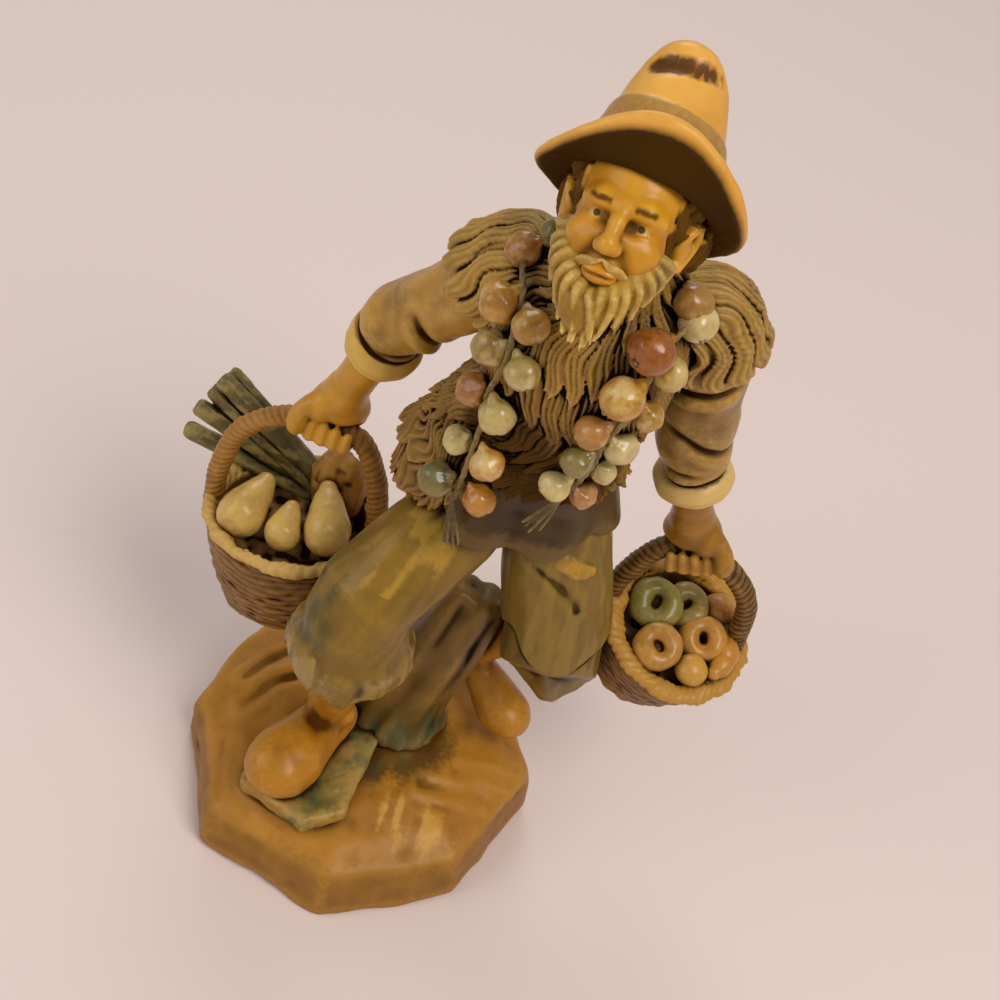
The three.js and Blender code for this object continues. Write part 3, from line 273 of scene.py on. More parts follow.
class Clay:
    """Signed distance to a form on a dense grid, in millimetres."""

    def __init__(self, low, high, step, reach=3.0):
        self.step = step
        self.reach = reach
        self.first = np.floor((np.asarray(low) - reach) / step).astype(int)
        last = np.ceil((np.asarray(high) + reach) / step).astype(int)
        self.d = np.full(last - self.first + 1, reach, np.float32)

    def window(self, low, high):
        a = np.clip(np.floor(np.asarray(low) / self.step).astype(int) - self.first, 0, self.d.shape)
        b = np.clip(np.ceil(np.asarray(high) / self.step).astype(int) - self.first + 1, 0, self.d.shape)
        axes = [(np.arange(a[k], b[k]) + self.first[k]) * self.step for k in range(3)]
        return tuple(slice(a[k], b[k]) for k in range(3)), np.meshgrid(*axes, indexing="ij", sparse=True)

    def put(self, where, distance, soft, cut):
        old = self.d[where]
        self.d[where] = -soft_min(-old, distance, soft) if cut else soft_min(old, distance, soft)

    def add_cad(self, *names):
        for name in names:
            points, faces = cad_mesh(name)
            grid = vdb.FloatGrid.createLevelSetFromPolygons(
                points, triangles=faces, transform=vdb.createLinearTransform(voxelSize=self.step),
                halfWidth=self.reach / self.step)
            part = np.zeros(self.d.shape, np.float32)
            grid.copyToArray(part, ijk=tuple(int(k) for k in self.first))
            np.minimum(self.d, part, out=self.d)
        return self

    def soften(self, size):
        self.d = blurred(self.d, size / self.step)
        return self

    def swell(self, amount):
        self.d -= amount
        return self

    def tube(self, points, radii, soft=0.3, cut=False):
        """Chain of tapered rods through points."""
        points = np.asarray(points, float)
        radii = np.broadcast_to(np.asarray(radii, float), len(points))
        margin = soft + 3 * self.step
        for p, q, rp, rq in zip(points[:-1], points[1:], radii[:-1], radii[1:]):
            spread = max(rp, rq) + margin
            where, (x, y, z) = self.window(np.minimum(p, q) - spread, np.maximum(p, q) + spread)
            run = q - p
            t = ((x - p[0]) * run[0] + (y - p[1]) * run[1] + (z - p[2]) * run[2]) / max(run.dot(run), 1e-9)
            t = np.clip(t, 0, 1)
            off = [c - start - t * reach for c, start, reach in zip((x, y, z), p, run)]
            gap = np.sqrt(off[0] ** 2 + off[1] ** 2 + off[2] ** 2)
            self.put(where, gap - (rp + (rq - rp) * t), soft, cut)
        return self

    def ball(self, middle, radius, soft=0.3, cut=False):
        spread = radius + soft + 3 * self.step
        where, (x, y, z) = self.window(middle - spread, middle + spread)
        gap = np.sqrt((x - middle[0]) ** 2 + (y - middle[1]) ** 2 + (z - middle[2]) ** 2)
        self.put(where, gap - radius, soft, cut)
        return self

    def egg(self, place, middle, half, soft=0.3, cut=False):
        """Ellipsoid in a local frame."""
        half = np.asarray(half, float)
        centre = place.out(*middle)
        spread = np.abs(place.axes) @ half + soft + 3 * self.step
        where, (x, y, z) = self.window(centre - spread, centre + spread)
        x, y, z = x - centre[0], y - centre[1], z - centre[2]
        near = 0
        far = 0
        for k in range(3):
            axis = place.axes[:, k]
            q = x * axis[0] + y * axis[1] + z * axis[2]
            near = near + (q / half[k]) ** 2
            far = far + (q / half[k] ** 2) ** 2
        near = np.sqrt(near)
        self.put(where, near * (near - 1) / np.maximum(np.sqrt(far), 1e-6), soft, cut)
        return self

    def points(self, mask):
        return (np.argwhere(mask) + self.first) * self.step

    def push(self, relief, band=2.0):
        """Raises the surface by relief(points)."""
        mask = np.abs(self.d) < band
        spots = self.points(mask)
        batches = np.array_split(spots, len(spots) // BATCH + 1)
        self.d[mask] -= np.concatenate([relief(batch) for batch in batches])
        return self

    def fill(self, distance, soft=0.0, cut=False):
        """Joins a form given by its distance at every point of the grid."""
        for layer in range(len(self.d)):
            where = slice(layer, layer + 1)
            spots = np.argwhere(np.ones(self.d[where].shape, bool)) + self.first
            spots[:, 0] += layer
            values = distance(spots * self.step).reshape(self.d[where].shape).astype(np.float32)
            self.put(where, values, soft, cut)
        return self

    def surface(self):
        grid = vdb.FloatGrid(self.reach)
        grid.transform = vdb.createLinearTransform(voxelSize=self.step)
        grid.copyFromArray(self.d, ijk=tuple(int(k) for k in self.first))
        points, quads = grid.convertToQuads(isovalue=0.0)
        return without_crumbs(points.astype(float), quads.astype(np.int64))


# Fewest points of a piece that is kept
CRUMB = 150


def without_crumbs(points, quads):
    """Drops loose specks and turns the faces outwards."""
    label = np.arange(len(points))
    while True:
        low = label[quads].min(1)
        new = label.copy()
        np.minimum.at(new, quads.ravel(), np.repeat(low, 4))
        new = new[new]
        if np.array_equal(new, label):
            break
        label = new
    count = np.bincount(label, minlength=len(points))
    keep = count[label] >= min(CRUMB, count.max())
    quads = quads[keep[quads[:, 0]]]
    index = np.cumsum(keep) - 1
    points, quads = points[keep], index[quads]
    a, b, c = points[quads[:, 0]], points[quads[:, 1]], points[quads[:, 2]]
    if np.einsum("ij,ij->i", a, np.cross(b, c)).sum() < 0:
        quads = quads[:, ::-1]
    return points, quads


# Space shared by all the pieces: where it is full the paint darkens, partly as the figure's dark wash and
# partly as painted shade between pieces
SPACE_STEP = 0.7
SPACE = Clay(at(-62, -50, -6), at(78, 50, 202), SPACE_STEP, 1.0)
SPACE.d[:] = 0
PIECES_TO_WASH_AND_SHADE = []
HOLLOW_SIZE = 1.1
HOLLOW_OFF = 0.35
CROWD_SIZE = 2.8
CROWD_OFF = 0.8


def settle(clay):
    """Adds a form to the shared space, so that the wash and painted shade can gather between pieces."""
    low = clay.first * clay.step
    high = low + (np.array(clay.d.shape) - 1) * clay.step
    where, axes = SPACE.window(low, high)
    cells = [np.clip(np.rint(a.ravel() / clay.step).astype(int) - clay.first[k], 0, clay.d.shape[k] - 1)
             for k, a in enumerate(axes)]
    filled = np.clip(0.5 - clay.d[np.ix_(*cells)] / SPACE_STEP, 0, 1)
    SPACE.d[where] = np.maximum(SPACE.d[where], filled)


def write_value(mesh, name, value):
    """Keeps a number at each point of a mesh, for the paint to read."""
    layer = mesh.attributes.new(name, "FLOAT", "POINT")
    layer.data.foreach_set("value", np.asarray(value, np.float32))


def wash_and_shade_pieces():
    """Writes how hemmed in each point is, closely and widely, for the wash and painted shade."""
    for name, size, off in (("hollow", HOLLOW_SIZE, HOLLOW_OFF), ("crowd", CROWD_SIZE, CROWD_OFF)):
        grid = blurred(SPACE.d, size / SPACE_STEP)
        for mesh, points, normals in PIECES_TO_WASH_AND_SHADE:
            write_value(mesh, name, sample(grid, SPACE.first, SPACE_STEP, points + normals * off))


# Paint
def linear(colour):
    c = np.array(colour, float) / 255
    return tuple(np.where(c <= 0.04045, c / 12.92, ((c + 0.055) / 1.055) ** 2.4)) + (1.0,)


# Blue cut from every colour of the figure: a painted warm cast of light, which also offsets the whitish
# sheen of reflections
WARM_CAST = np.array([1.0, 0.98, 0.74, 1.0])


def warmed(colour):
    return tuple(np.array(linear(colour)) * WARM_CAST)


def toned(colour, share):
    return tuple(share * np.array(colour))


def halfway(a, b):
    return tuple(0.5 * np.array(a) + 0.5 * np.array(b))


class Paint:
    """Hand paint: clouds of two tones, masks, lighter paint on raised parts that is dry brushing and painted
    highlight, and a dark wash in the hollows that is also painted shade.
    """

    def __init__(self, name):
        self.material = bpy.data.materials.new(name)
        self.material.use_nodes = True
        self.tree = self.material.node_tree
        self.shader = self.tree.nodes["Principled BSDF"]
        self.place = self.add("ShaderNodeTexCoord").outputs["Object"]

    def add(self, kind):
        return self.tree.nodes.new(kind)

    def plug(self, value, socket):
        if hasattr(value, "is_linked"):
            self.tree.links.new(value, socket)
        else:
            socket.default_value = value

    def math(self, operation, a, b=0.0, clamp=False):
        node = self.add("ShaderNodeMath")
        node.operation = operation
        node.use_clamp = clamp
        self.plug(a, node.inputs[0])
        self.plug(b, node.inputs[1])
        return node.outputs[0]

    def span(self, value, low, high, out_low=0.0, out_high=1.0):
        node = self.add("ShaderNodeMapRange")
        self.plug(value, node.inputs["Value"])
        node.inputs["From Min"].default_value = low
        node.inputs["From Max"].default_value = high
        node.inputs["To Min"].default_value = out_low
        node.inputs["To Max"].default_value = out_high
        return node.outputs[0]

    def blend(self, share, a, b):
        node = self.add("ShaderNodeMix")
        node.data_type = "RGBA"
        self.plug(share, node.inputs[0])
        self.plug(a, node.inputs[6])
        self.plug(b, node.inputs[7])
        return node.outputs[2]

    def clouds(self, size, detail=3.0, stretch=(1, 1, 1)):
        """Noise whose lumps have a size in millimetres."""
        scaled = self.place
        if stretch != (1, 1, 1):
            node = self.add("ShaderNodeMapping")
            node.inputs["Scale"].default_value = stretch
            self.plug(self.place, node.inputs["Vector"])
            scaled = node.outputs[0]
        node = self.add("ShaderNodeTexNoise")
        node.inputs["Scale"].default_value = 1 / (size * MM)
        node.inputs["Detail"].default_value = detail
        self.plug(scaled, node.inputs["Vector"])
        return node.outputs[0]

    def reading(self, name):
        node = self.add("ShaderNodeAttribute")
        node.attribute_name = name
        return node.outputs["Fac"]


FINE_CLOUD = 1.1
GRAIN = 0.12
GRAIN_DEPTH = 0.3
EDGE_ROUGHNESS = 0.2
COAT_ROUGHNESS = 0.18


def painted(name, base, second, light, wash_and_shade, masks=(), gloss=0.42, coat=0.1, shine=0.22, dull=None,
            wash_share=0.95, gap_share=0.8, hollow_share=0.75, crowd_share=0.8, light_share=0.45,
            cloud=7.0, stretch=(1, 1, 1)):
    """Clouds of base and second, then the masks, then a painted highlight on what stands out and the wash,
    partly painted shade, in what is sunk.

    A mask is an attribute, a colour, a share and perhaps how rough its edge is.
    Where the attribute dull is full, the paint takes no painted highlight and hardly shines.
    """
    p = Paint(name)
    broad = p.span(p.clouds(cloud, 3, stretch), 0.35, 0.65)
    fine_noise = p.clouds(FINE_CLOUD, 4, stretch)
    colour = p.blend(broad, warmed(base), warmed(second))
    for attribute, tone, share, *edge in masks:
        rough_edge = edge[0] if edge else EDGE_ROUGHNESS
        ragged = p.math("ADD", p.reading(attribute), p.span(fine_noise, 0.3, 0.7, -rough_edge, rough_edge))
        colour = p.blend(p.math("MULTIPLY", p.span(ragged, 0.25, 0.75), share), colour, warmed(tone))
    fine = p.reading("fine")
    # Painted highlight with dry brushing: the light colour on raised parts
    raised = p.math("MULTIPLY", p.span(fine, 0.05, 0.9), p.span(fine_noise, 0.3, 0.7, 0.4, 1.2))
    if dull:
        raised = p.math("MULTIPLY", raised, p.span(p.reading(dull), 0, 0.6, 1, 0))
    colour = p.blend(p.math("MULTIPLY", raised, light_share, True), colour, warmed(light))
    # Dark wash in grooves, and painted shade in gaps and where other pieces hem a point in
    groove = p.math("MULTIPLY", p.span(fine, -0.05, -0.7), wash_share)
    gap = p.math("MULTIPLY", p.span(p.reading("gap"), -0.1, -0.8), gap_share)
    hollow = p.math("MULTIPLY", p.span(p.reading("hollow"), 0.44, 0.66), hollow_share)
    crowd = p.math("MULTIPLY", p.span(p.reading("crowd"), 0.44, 0.7), crowd_share)
    wash_and_shade_share = p.math("ADD", p.math("ADD", groove, gap), p.math("ADD", hollow, crowd))
    dark = p.math("MULTIPLY", wash_and_shade_share, p.span(broad, 0, 1, 0.8, 1.15), True)
    colour = p.blend(dark, colour, warmed(wash_and_shade))
    p.plug(colour, p.shader.inputs["Base Color"])
    rough = p.math("ADD", p.span(dark, 0, 1, gloss, gloss + 0.25), p.span(fine_noise, 0.3, 0.7, -0.06, 0.06))
    p.plug(rough, p.shader.inputs["Roughness"])
    matt = p.math("ADD", dark, p.reading(dull), True) if dull else dark
    p.plug(p.span(matt, 0, 1, shine, 0.03), p.shader.inputs["Specular IOR Level"])
    p.plug(p.span(matt, 0, 1, coat, 0), p.shader.inputs["Coat Weight"])
    p.shader.inputs["Coat Roughness"].default_value = COAT_ROUGHNESS
    bump = p.add("ShaderNodeBump")
    bump.inputs["Strength"].default_value = GRAIN
    bump.inputs["Distance"].default_value = GRAIN_DEPTH * MM
    p.plug(fine_noise, bump.inputs["Height"])
    p.plug(bump.outputs[0], p.shader.inputs["Normal"])
    return p.material


FINE_SIZE = 0.7
FINE_RANGE = 0.22
GAP_SCALE = 2.6
GAP_RANGE = 0.5


def piece(clay, node, material, masks=None, fine_size=FINE_SIZE):
    """Mesh of a sculpted form, with what the paint needs to know at each point."""
    points, quads = clay.surface()
    mesh = bpy.data.meshes.new("painted_" + node)
    mesh.vertices.add(len(points))
    mesh.vertices.foreach_set("co", (points * MM).astype(np.float32).ravel())
    mesh.loops.add(quads.size)
    mesh.loops.foreach_set("vertex_index", quads.astype(np.int32).ravel())
    mesh.polygons.add(len(quads))
    mesh.polygons.foreach_set("loop_start", np.arange(0, quads.size, 4, dtype=np.int32))
    mesh.polygons.foreach_set("use_smooth", np.ones(len(quads), bool))
    mesh.update(calc_edges=True)
    normals = np.zeros(len(points) * 3, np.float32)
    mesh.vertex_normals.foreach_get("vector", normals)
    PIECES_TO_WASH_AND_SHADE.append((mesh, points, normals.reshape(-1, 3)))
    settle(clay)
    values = {}
    for name, size, reach in (("fine", fine_size, FINE_RANGE), ("gap", GAP_SCALE * fine_size, GAP_RANGE)):
        values[name] = sample(blurred(clay.d, size / clay.step), clay.first, clay.step, points) / reach
    for name, mask in (masks or {}).items():
        values[name] = mask(points)
    for name, value in values.items():
        write_value(mesh, name, value)
    mesh.materials.append(material)
    obj = bpy.data.objects.new("painted_" + node, mesh)
    bpy.context.scene.collection.objects.link(obj)
    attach(obj, "root")
    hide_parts(node)


def box_of(name):
    """A CAD node's two corners in millimetres."""
    return np.array(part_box(name)) / MM


def clear_clay(name, step, room):
    """An empty grid round a CAD node."""
    low, high = box_of(name)
    return Clay(low - room, high + room, step)


def clay_of(name, step=0.3, room=0.0):
    """A CAD node as clay."""
    return clear_clay(name, step, room).add_cad(name)


LINE_STEPS = 24


def line_gap(p, points):
    """Distance to a smooth line through a few points."""
    nearest = np.full(len(p), np.inf)
    for c in smooth_run(points, LINE_STEPS):
        np.minimum(nearest, ((p - c) ** 2).sum(1), out=nearest)
    return np.sqrt(nearest)


def fold_line(p, points, depth, width):
    """Relief of a crease with a soft roll on either side."""
    gap = line_gap(p, points)
    return depth * (0.45 * np.exp(-((gap - 2 * width) / width) ** 2) - np.exp(-(gap / width) ** 2))


# Rock base
def sculpt_base():
    clay = clay_of("rock_base", step=0.5)
    clay.soften(0.9)
    toe = at(29.5, 4.5, MOUND_TOP)
    creases = [
        [at(20, -6, 18.5), at(27, -4, 18), at(34, -3, 15)],
        [at(14, -12, 18), at(23, -11, 17.5), at(32, -10, 15)],
        [at(-28, -4, 17.5), at(-22, 4, 18.5), at(-14, 8, 19)],
        [at(-30, 4, 17), at(-23, 12, 18), at(-14, 15, 18.5)],
        [at(-27, -14, 16.5), at(-24, -24, 15.5), at(-16, -31, 14)],
    ]

    def ground(p):
        near_toe = np.hypot(p[:, 0] - toe[0], p[:, 1] - toe[1] + 5)
        swell = 1.6 * np.exp(-near_toe ** 2 / 60) * ramp(p[:, 2], 8, 16)
        relief = swell + 0.8 * noise(p, 14, 1) + 0.3 * noise(p, 5, 2) + 0.1 * noise(p, 2.2, 3)
        for line in creases:
            relief = relief + fold_line(p, line, 0.7, 1.3)
        return relief

    clay.push(ground, 2.6)
    level = (np.arange(clay.d.shape[2]) + clay.first[2]) * clay.step
    clay.d = np.maximum(clay.d, -level[None, None, :])
    # The base's side wall is painted darker as painted shade
    shade = painted("rock_paint", (184, 126, 46), (158, 106, 36), (206, 152, 74), (92, 56, 16),
                    masks=[("grass", (88, 68, 26), 0.9), ("teal", (62, 74, 46), 0.7),
                           ("dry", (212, 162, 82), 0.7), ("wall", (132, 90, 36), 0.85)],
                    gloss=0.46, coat=0.05, cloud=16.0, crowd_share=0.7, wash_share=0.6, light_share=0.3)

    def near_stump(p):
        return np.hypot((p[:, 0] - 2) / 17, (p[:, 1] + 1) / 15)

    def grass(p):
        streak = noise(p * at(1, 0.3, 0.4), 2.0, 9)
        return 1.1 * (1 - ramp(near_stump(p), 0.45, 1.3)) + 0.3 * streak * (near_stump(p) < 1.5)

    def teal(p):
        streak = noise(p * at(1, 0.25, 0.3), 2.6, 19)
        return (1 - ramp(near_stump(p), 0.6, 1.1)) * (0.25 + streak)

    def dry(p):
        near = np.hypot((p[:, 0] - 14) / 13, (p[:, 1] + 22) / 10)
        streak = noise(p * at(1.0, 0.16, 0.3), 1.5, 10)
        return (1 - ramp(near, 0.2, 1.2)) * (0.4 + 0.8 * streak)

    # Painted shade: darker low on the base's side wall
    def wall(p):
        return 1 - ramp(p[:, 2], 8, 14)

    piece(clay, "rock_base", shade, {
        "grass": grass, "teal": teal, "dry": dry, "wall": wall}, fine_size=1.4)


def sculpt_stone():
    clay = clay_of("stepping_stone", step=0.35)
    clay.soften(0.6)
    clay.push(lambda p: 0.35 * noise(p, 3.5, 5) + 0.15 * noise(p, 1.4, 6))
    shade = painted("stone_paint", (132, 116, 62), (104, 94, 50), (184, 162, 104), (58, 42, 14), gloss=0.42,
                    masks=[("teal", (66, 88, 70), 0.8), ("warm", (176, 126, 60), 0.8)], cloud=4.0)
    piece(clay, "stepping_stone", shade, {
        "teal": lambda p: 0.4 + 1.1 * noise(p, 3.2, 7),
        "warm": lambda p: 0.4 + 1.1 * noise(p, 3.6, 8)})


def sculpt_stump():
    low, top = at(3, 2, MOUND_TOP - 5), mix(L_KNEE, L_ANKLE, 0.25) + at(-11, 2, 0)
    up = unit(top - low)
    clay = clay_of("support_stump", step=0.35, room=3)
    clay.soften(1.0)

    def bark(p):
        flat = p - 0.93 * np.outer(p @ up, up)
        foot = 1 - ramp(p[:, 2], MOUND_TOP, MOUND_TOP + 9)
        return 0.5 * noise(flat, 2.2, 11) + 0.35 * noise(p, 7, 12) + 1.0 * foot ** 2

    clay.push(bark)
    shade = painted("stump_paint", (126, 94, 46), (100, 74, 34), (164, 128, 74), (34, 22, 6), gloss=0.42,
                    masks=[("grass", (84, 66, 26), 0.9), ("teal", (52, 72, 54), 0.8)], stretch=(1, 1, 0.4))

    def grass(p):
        return 1.1 - ramp(p[:, 2] + 3 * noise(p, 5, 15), MOUND_TOP + 5, MOUND_TOP + 16)

    piece(clay, "support_stump", shade, {
        "grass": grass,
        "teal": lambda p: grass(p) * (0.3 + noise(p * at(1, 1, 0.3), 3, 13))}, fine_size=1.0)


# Feet
def sculpt_foot(node, ankle, aim, length, bulk, heel_lift, seed):
    clay = clay_of(node, step=0.3, room=1.5)
    clay.soften(1.2)
    aim = unit(aim)
    across = np.cross(aim, at(0, 0, 1))
    under_ankle = at(ankle[0], ankle[1], MOUND_TOP + 1)

    def sole(forward, side, lift):
        rise = heel_lift * max(0, 1 - (forward + 0.2) / 0.75)
        return under_ankle + aim * forward * length + across * side + at(0, 0, lift + rise)

    toes = place_along(sole(0.52, 0, 5.0 * bulk), aim, across)
    clay.egg(toes, (0, 0, 0), at(6.7, 5.6, 8.2) * bulk, 3.0)
    for side in (-1, 1):
        clay.ball(sole(-0.02, side * 4.2, 9.0), 1.6, 2.0)
    clay.soften(0.5)
    clay.push(lambda p: 0.3 * noise(p, 5, seed) + 0.08 * noise(p, 2, seed + 1))
    shade = painted(node + "_paint", (176, 118, 30), (154, 98, 22), (204, 148, 58), (84, 46, 8), gloss=0.4,
                    coat=0.15, crowd_share=0.6, hollow_share=0.6)
    piece(clay, node, shade, fine_size=1.4)


# Baskets and handles
HANDLE_RADIUS = 2.1
WRAP_PITCH = 1.45
ROW_PITCH = 1.75
STAKES = 30


def handle_points(place, radius, grip):
    wall = radius - 0.4
    ends = {"left": place.out(-wall, 0, -5), "right": place.out(wall, 0, -5)}
    span = ends["right"][0] - ends["left"][0]

    def raised(side, x, share):
        end = ends[side]
        return at(end[0] + x, mix(end[1], grip[1], share), mix(end[2], grip[2], share))

    return [ends["left"], raised("left", span * 0.01, 0.4), raised("left", span * 0.13, 0.78),
            raised("left", (grip[0] - ends["left"][0]) * 0.62, 0.985), grip,
            raised("right", (grip[0] - ends["right"][0]) * 0.5, 0.93), raised("right", -span * 0.06, 0.68),
            raised("right", -span * 0.005, 0.35), ends["right"]]


def sculpt_handle(node, place, radius, grip, tone):
    route = smooth_run(handle_points(place, radius, grip), 90)
    clay = Clay(route.min(0) - 2.5, route.max(0) + 2.5, 0.24)
    clay.tube(route, HANDLE_RADIUS, 0.0)
    travel = np.concatenate([[0], np.cumsum(np.linalg.norm(np.diff(route, axis=0), axis=1))])
    headings = headings_of(route)

    def lay(p):
        nearest = nearest_of(p, route)
        heading = headings[nearest]
        off = p - route[nearest]
        s = travel[nearest] + (off * heading).sum(1)
        side = np.cross(heading, at(0, 1, 0))
        phi = np.arctan2(off[:, 1], (off * side).sum(1))
        wrap = np.abs(np.cos(math.pi * s / WRAP_PITCH + 1.6 * phi + 0.7 * noise(p, 4, 30)))
        return 0.3 * wrap ** 0.7 - 0.24 + 0.2 * noise(p, 2.4, 31)

    clay.push(lay, 1.4)
    shade = painted(node + "_paint", tone, toned(tone, 0.8), (194, 144, 76), (44, 26, 6), wash_share=1.0)
    piece(clay, node, shade, fine_size=0.5)


def sculpt_basket(node, place, radius, depth, base, second, rim_tone, lip, seed):
    foot = radius * 0.76
    clay = clear_clay(node, 0.28, 2)
    filled = -depth * 0.27

    def outer(height):
        return foot + (radius - foot) * np.sin(np.clip((height + depth) / depth, 0, 1) * math.pi / 2)

    def wall(p):
        q, r, _ = place.polar(p)
        outside = np.maximum(r - outer(q[:, 2]), np.maximum(-depth - q[:, 2], q[:, 2] - 0.8))
        straw = 0.9 * noise(p, 2.2, seed + 6) + 0.7 * noise(p, 6, seed + 7)
        hollow = np.maximum(r - (radius - 2.2), filled + straw - q[:, 2])
        return np.maximum(outside, -hollow)

    def weave(p):
        q, r, angle = place.polar(p)
        row = q[:, 2] / ROW_PITCH + 0.35 * noise(p, 6, seed)
        strand_round = np.abs(np.cos(math.pi * row)) ** 0.7
        over = np.cos(STAKES / 2 * angle + math.pi * np.round(row))
        outside = r > outer(q[:, 2]) - 1.5
        return outside * (0.42 * strand_round * (0.7 + 0.3 * over) - 0.2) + 0.2 * noise(p, 1.8, seed + 1)

    def rim(p):
        q, r, angle = place.polar(p)
        sway = 0.6 * noise(np.stack([6 * np.cos(angle), 6 * np.sin(angle), 0 * r], 1), 2.2, seed + 3)
        return np.hypot((r - radius + 0.3 - 0.4 * sway) / lip, q[:, 2] - 0.9 - sway) - 1.25

    def plait(p):
        q, r, angle = place.polar(p)
        top = ramp(q[:, 2], -0.8, 0.4)
        lean = 26 * angle + 0.9 * (r - radius) + 2.5 * noise(p, 5, seed + 5)
        return top * (0.22 * np.abs(np.cos(lean)) - 0.1 + 0.5 * noise(p, 2.4, seed + 2))

    clay.fill(wall)
    clay.push(weave, 1.4)
    clay.fill(rim, 0.4)
    clay.push(plait, 1.4)
    clay.soften(0.2)

    def rim_mask(p):
        q, r, _ = place.polar(p)
        return ramp(q[:, 2] + 0.5 * noise(p, 2, seed + 4), -0.6, 0.6) * ramp(r, radius - 3.6, radius - 1.6)

    # Darker paint down in the basket's hollow: painted shade
    def inside(p):
        q, r, _ = place.polar(p)
        return (1 - ramp(r, radius - 2.6, radius - 1.6)) * ramp(q[:, 2], -depth * 0.8, -depth * 0.7)

    shade = painted(node + "_paint", base, second, (180, 138, 80), (42, 24, 6),
                    masks=[("inside", (128, 90, 42), 0.95), ("rim", rim_tone, 0.9)],
                    gloss=0.44, cloud=9.0, light_share=0.5, crowd_share=0.55, hollow_share=0.55)
    piece(clay, node, shade, {"rim": rim_mask, "inside": inside}, fine_size=0.6)


# Hands
PALM = 5.4
FINGER = 1.35
GRIP_PLAY = 0.3
FINGER_BENDS = np.radians([20, 75, 130, 190, 245, 300])
FINGER_TAPER = np.array([1.05, 1.12, 1.0, 1.1, 0.98, 0.72])


def sculpt_hand(node, elbow, wrist, grip, outer, tone):
    place = place_along(grip, wrist - grip, at(1, 0, 0))
    hook = HANDLE_RADIUS + GRIP_PLAY + FINGER * 0.9
    clay = Clay(np.minimum(elbow, grip) - 9, np.maximum(elbow, grip) + 9, 0.26)
    drop = HAND_DROP
    clay.tube([mix(elbow, wrist, 0.35), mix(elbow, wrist, 0.8), wrist], [4.2, 3.7, 3.9], 0.5)
    clay.tube([wrist, place.out(0, 0.5, drop * 0.62)], [3.9, 3.8], 1.5)
    clay.egg(place, (0, 0.6, drop * 0.6), (PALM * 1.05, 3.7, 4.2), 2.0)
    clay.egg(place, (0, hook * 0.7, drop * 0.22), (PALM * 1.05, 2.5, 4.0), 1.5)
    clay.egg(place, (outer * PALM * 0.62, -1.6, drop * 0.52), (2.5, 2.6, 3.6), 1.2)
    pitch = (2 * PALM - FINGER) / 4
    for k, slot_place in enumerate((-1.5, -0.5, 0.5, 1.5)):
        x = slot_place * pitch
        run = [place.out(x + 0.15 * math.sin(3 * b + k), hook * math.sin(b), hook * math.cos(b))
               for b in FINGER_BENDS]
        size = FINGER * (1.0 if k in (1, 2) else 0.92)
        clay.tube(run, FINGER_TAPER * size, 0.3)
        clay.ball(run[3], size * 1.12, 0.4)
    edge = outer * PALM
    thumb = [place.out(edge * 0.7, -0.8, drop * 0.62), place.out(edge * 1.16, -2.6, drop * 0.36),
             place.out(edge * 1.24, -hook, 1), place.out(edge * 1.16, -hook * 0.98, -1.6)]
    clay.tube(smooth_run(thumb, 7), [1.9, 1.9, 1.75, 1.75, 1.7, 1.45, 1.0], 0.7)
    clay.soften(0.25)
    shade = painted(node + "_paint", tone, toned(tone, 0.86), (222, 168, 76), (62, 34, 6),
                    gloss=0.36, coat=0.2, wash_share=0.9)
    piece(clay, node, shade, fine_size=0.6)


# Sleeves
# Creases: share down the arm, the crease's own direction, depth, side that shows it
R_SLEEVE_FOLDS = [
    (0.66, at(-0.8, 0.1, -0.5), 1.1, at(0.5, -0.7, -0.5)),
    (1.12, at(-0.35, 0.1, -0.95), 0.7, at(0.4, -0.9, 0)),
]
L_SLEEVE_FOLDS = [
    (0.32, at(0.2, 0.1, -1), 1.1, at(-0.2, -1, 0.1)),
    (0.8, at(-0.3, 0.2, -0.9), 0.7, at(0.4, -1, 0)),
    (1.22, at(0.45, 0.1, -0.8), 0.8, at(-0.7, -0.7, 0)),
]


def sculpt_sleeve(node, shoulder, elbow, wrist, cuff_share, tone, cuff_tone, creases, seed):
    clay = clay_of(node, step=0.3, room=1.0)
    clay.soften(0.9)
    down = unit(wrist - elbow)
    cuff_end = mix(elbow, wrist, cuff_share)

    def folds(p):
        relief = 0.6 * noise(p, 9, seed + 1) + 0.1 * noise(p, 2.4, seed + 2)
        for share, tilt, depth, facing in creases:
            middle = mix(shoulder, elbow, share) if share < 1 else mix(elbow, wrist, share - 1)
            gap = (p - middle) @ unit(tilt) + 1.4 * noise(p, 8, seed + 4)
            seen = ramp((p - middle) @ unit(facing), 0, 6)
            roll = 0.7 * np.exp(-((gap - 2.6) / 1.7) ** 2)
            relief = relief + seen * depth * (roll - np.exp(-(gap / 1.1) ** 2))
        away = 1 - ramp((p - cuff_end) @ down, -7.5, -6)
        return away * relief

    clay.push(folds)

    def cuff_mask(p):
        return ramp((p - cuff_end) @ down, -5.9, -5.1) * (np.linalg.norm(p - cuff_end, axis=1) < 13)

    def cuff_roll(p):
        t = (p - cuff_end) @ down + 0.9 * noise(p, 7, seed + 5)
        belly = np.clip(1 - ((t + 2.8) / 3.2) ** 2, 0, 1)
        crease = np.exp(-((t + 6.1) / 0.9) ** 2)
        seam = np.exp(-((t + 2.2) / 0.5) ** 2)
        return 0.9 * belly * (1 + 0.6 * noise(p, 5, seed + 3)) - 0.6 * crease - 0.22 * seam

    clay.push(cuff_roll)
    shade = painted(node + "_paint", toned(tone, 1.08), toned(tone, 0.7), (222, 180, 104), (46, 28, 6),
                    masks=[("cuff", cuff_tone, 0.85)], gloss=0.38, wash_share=0.8, cloud=10.0)
    piece(clay, node, shade, {"cuff": cuff_mask}, fine_size=1.3)


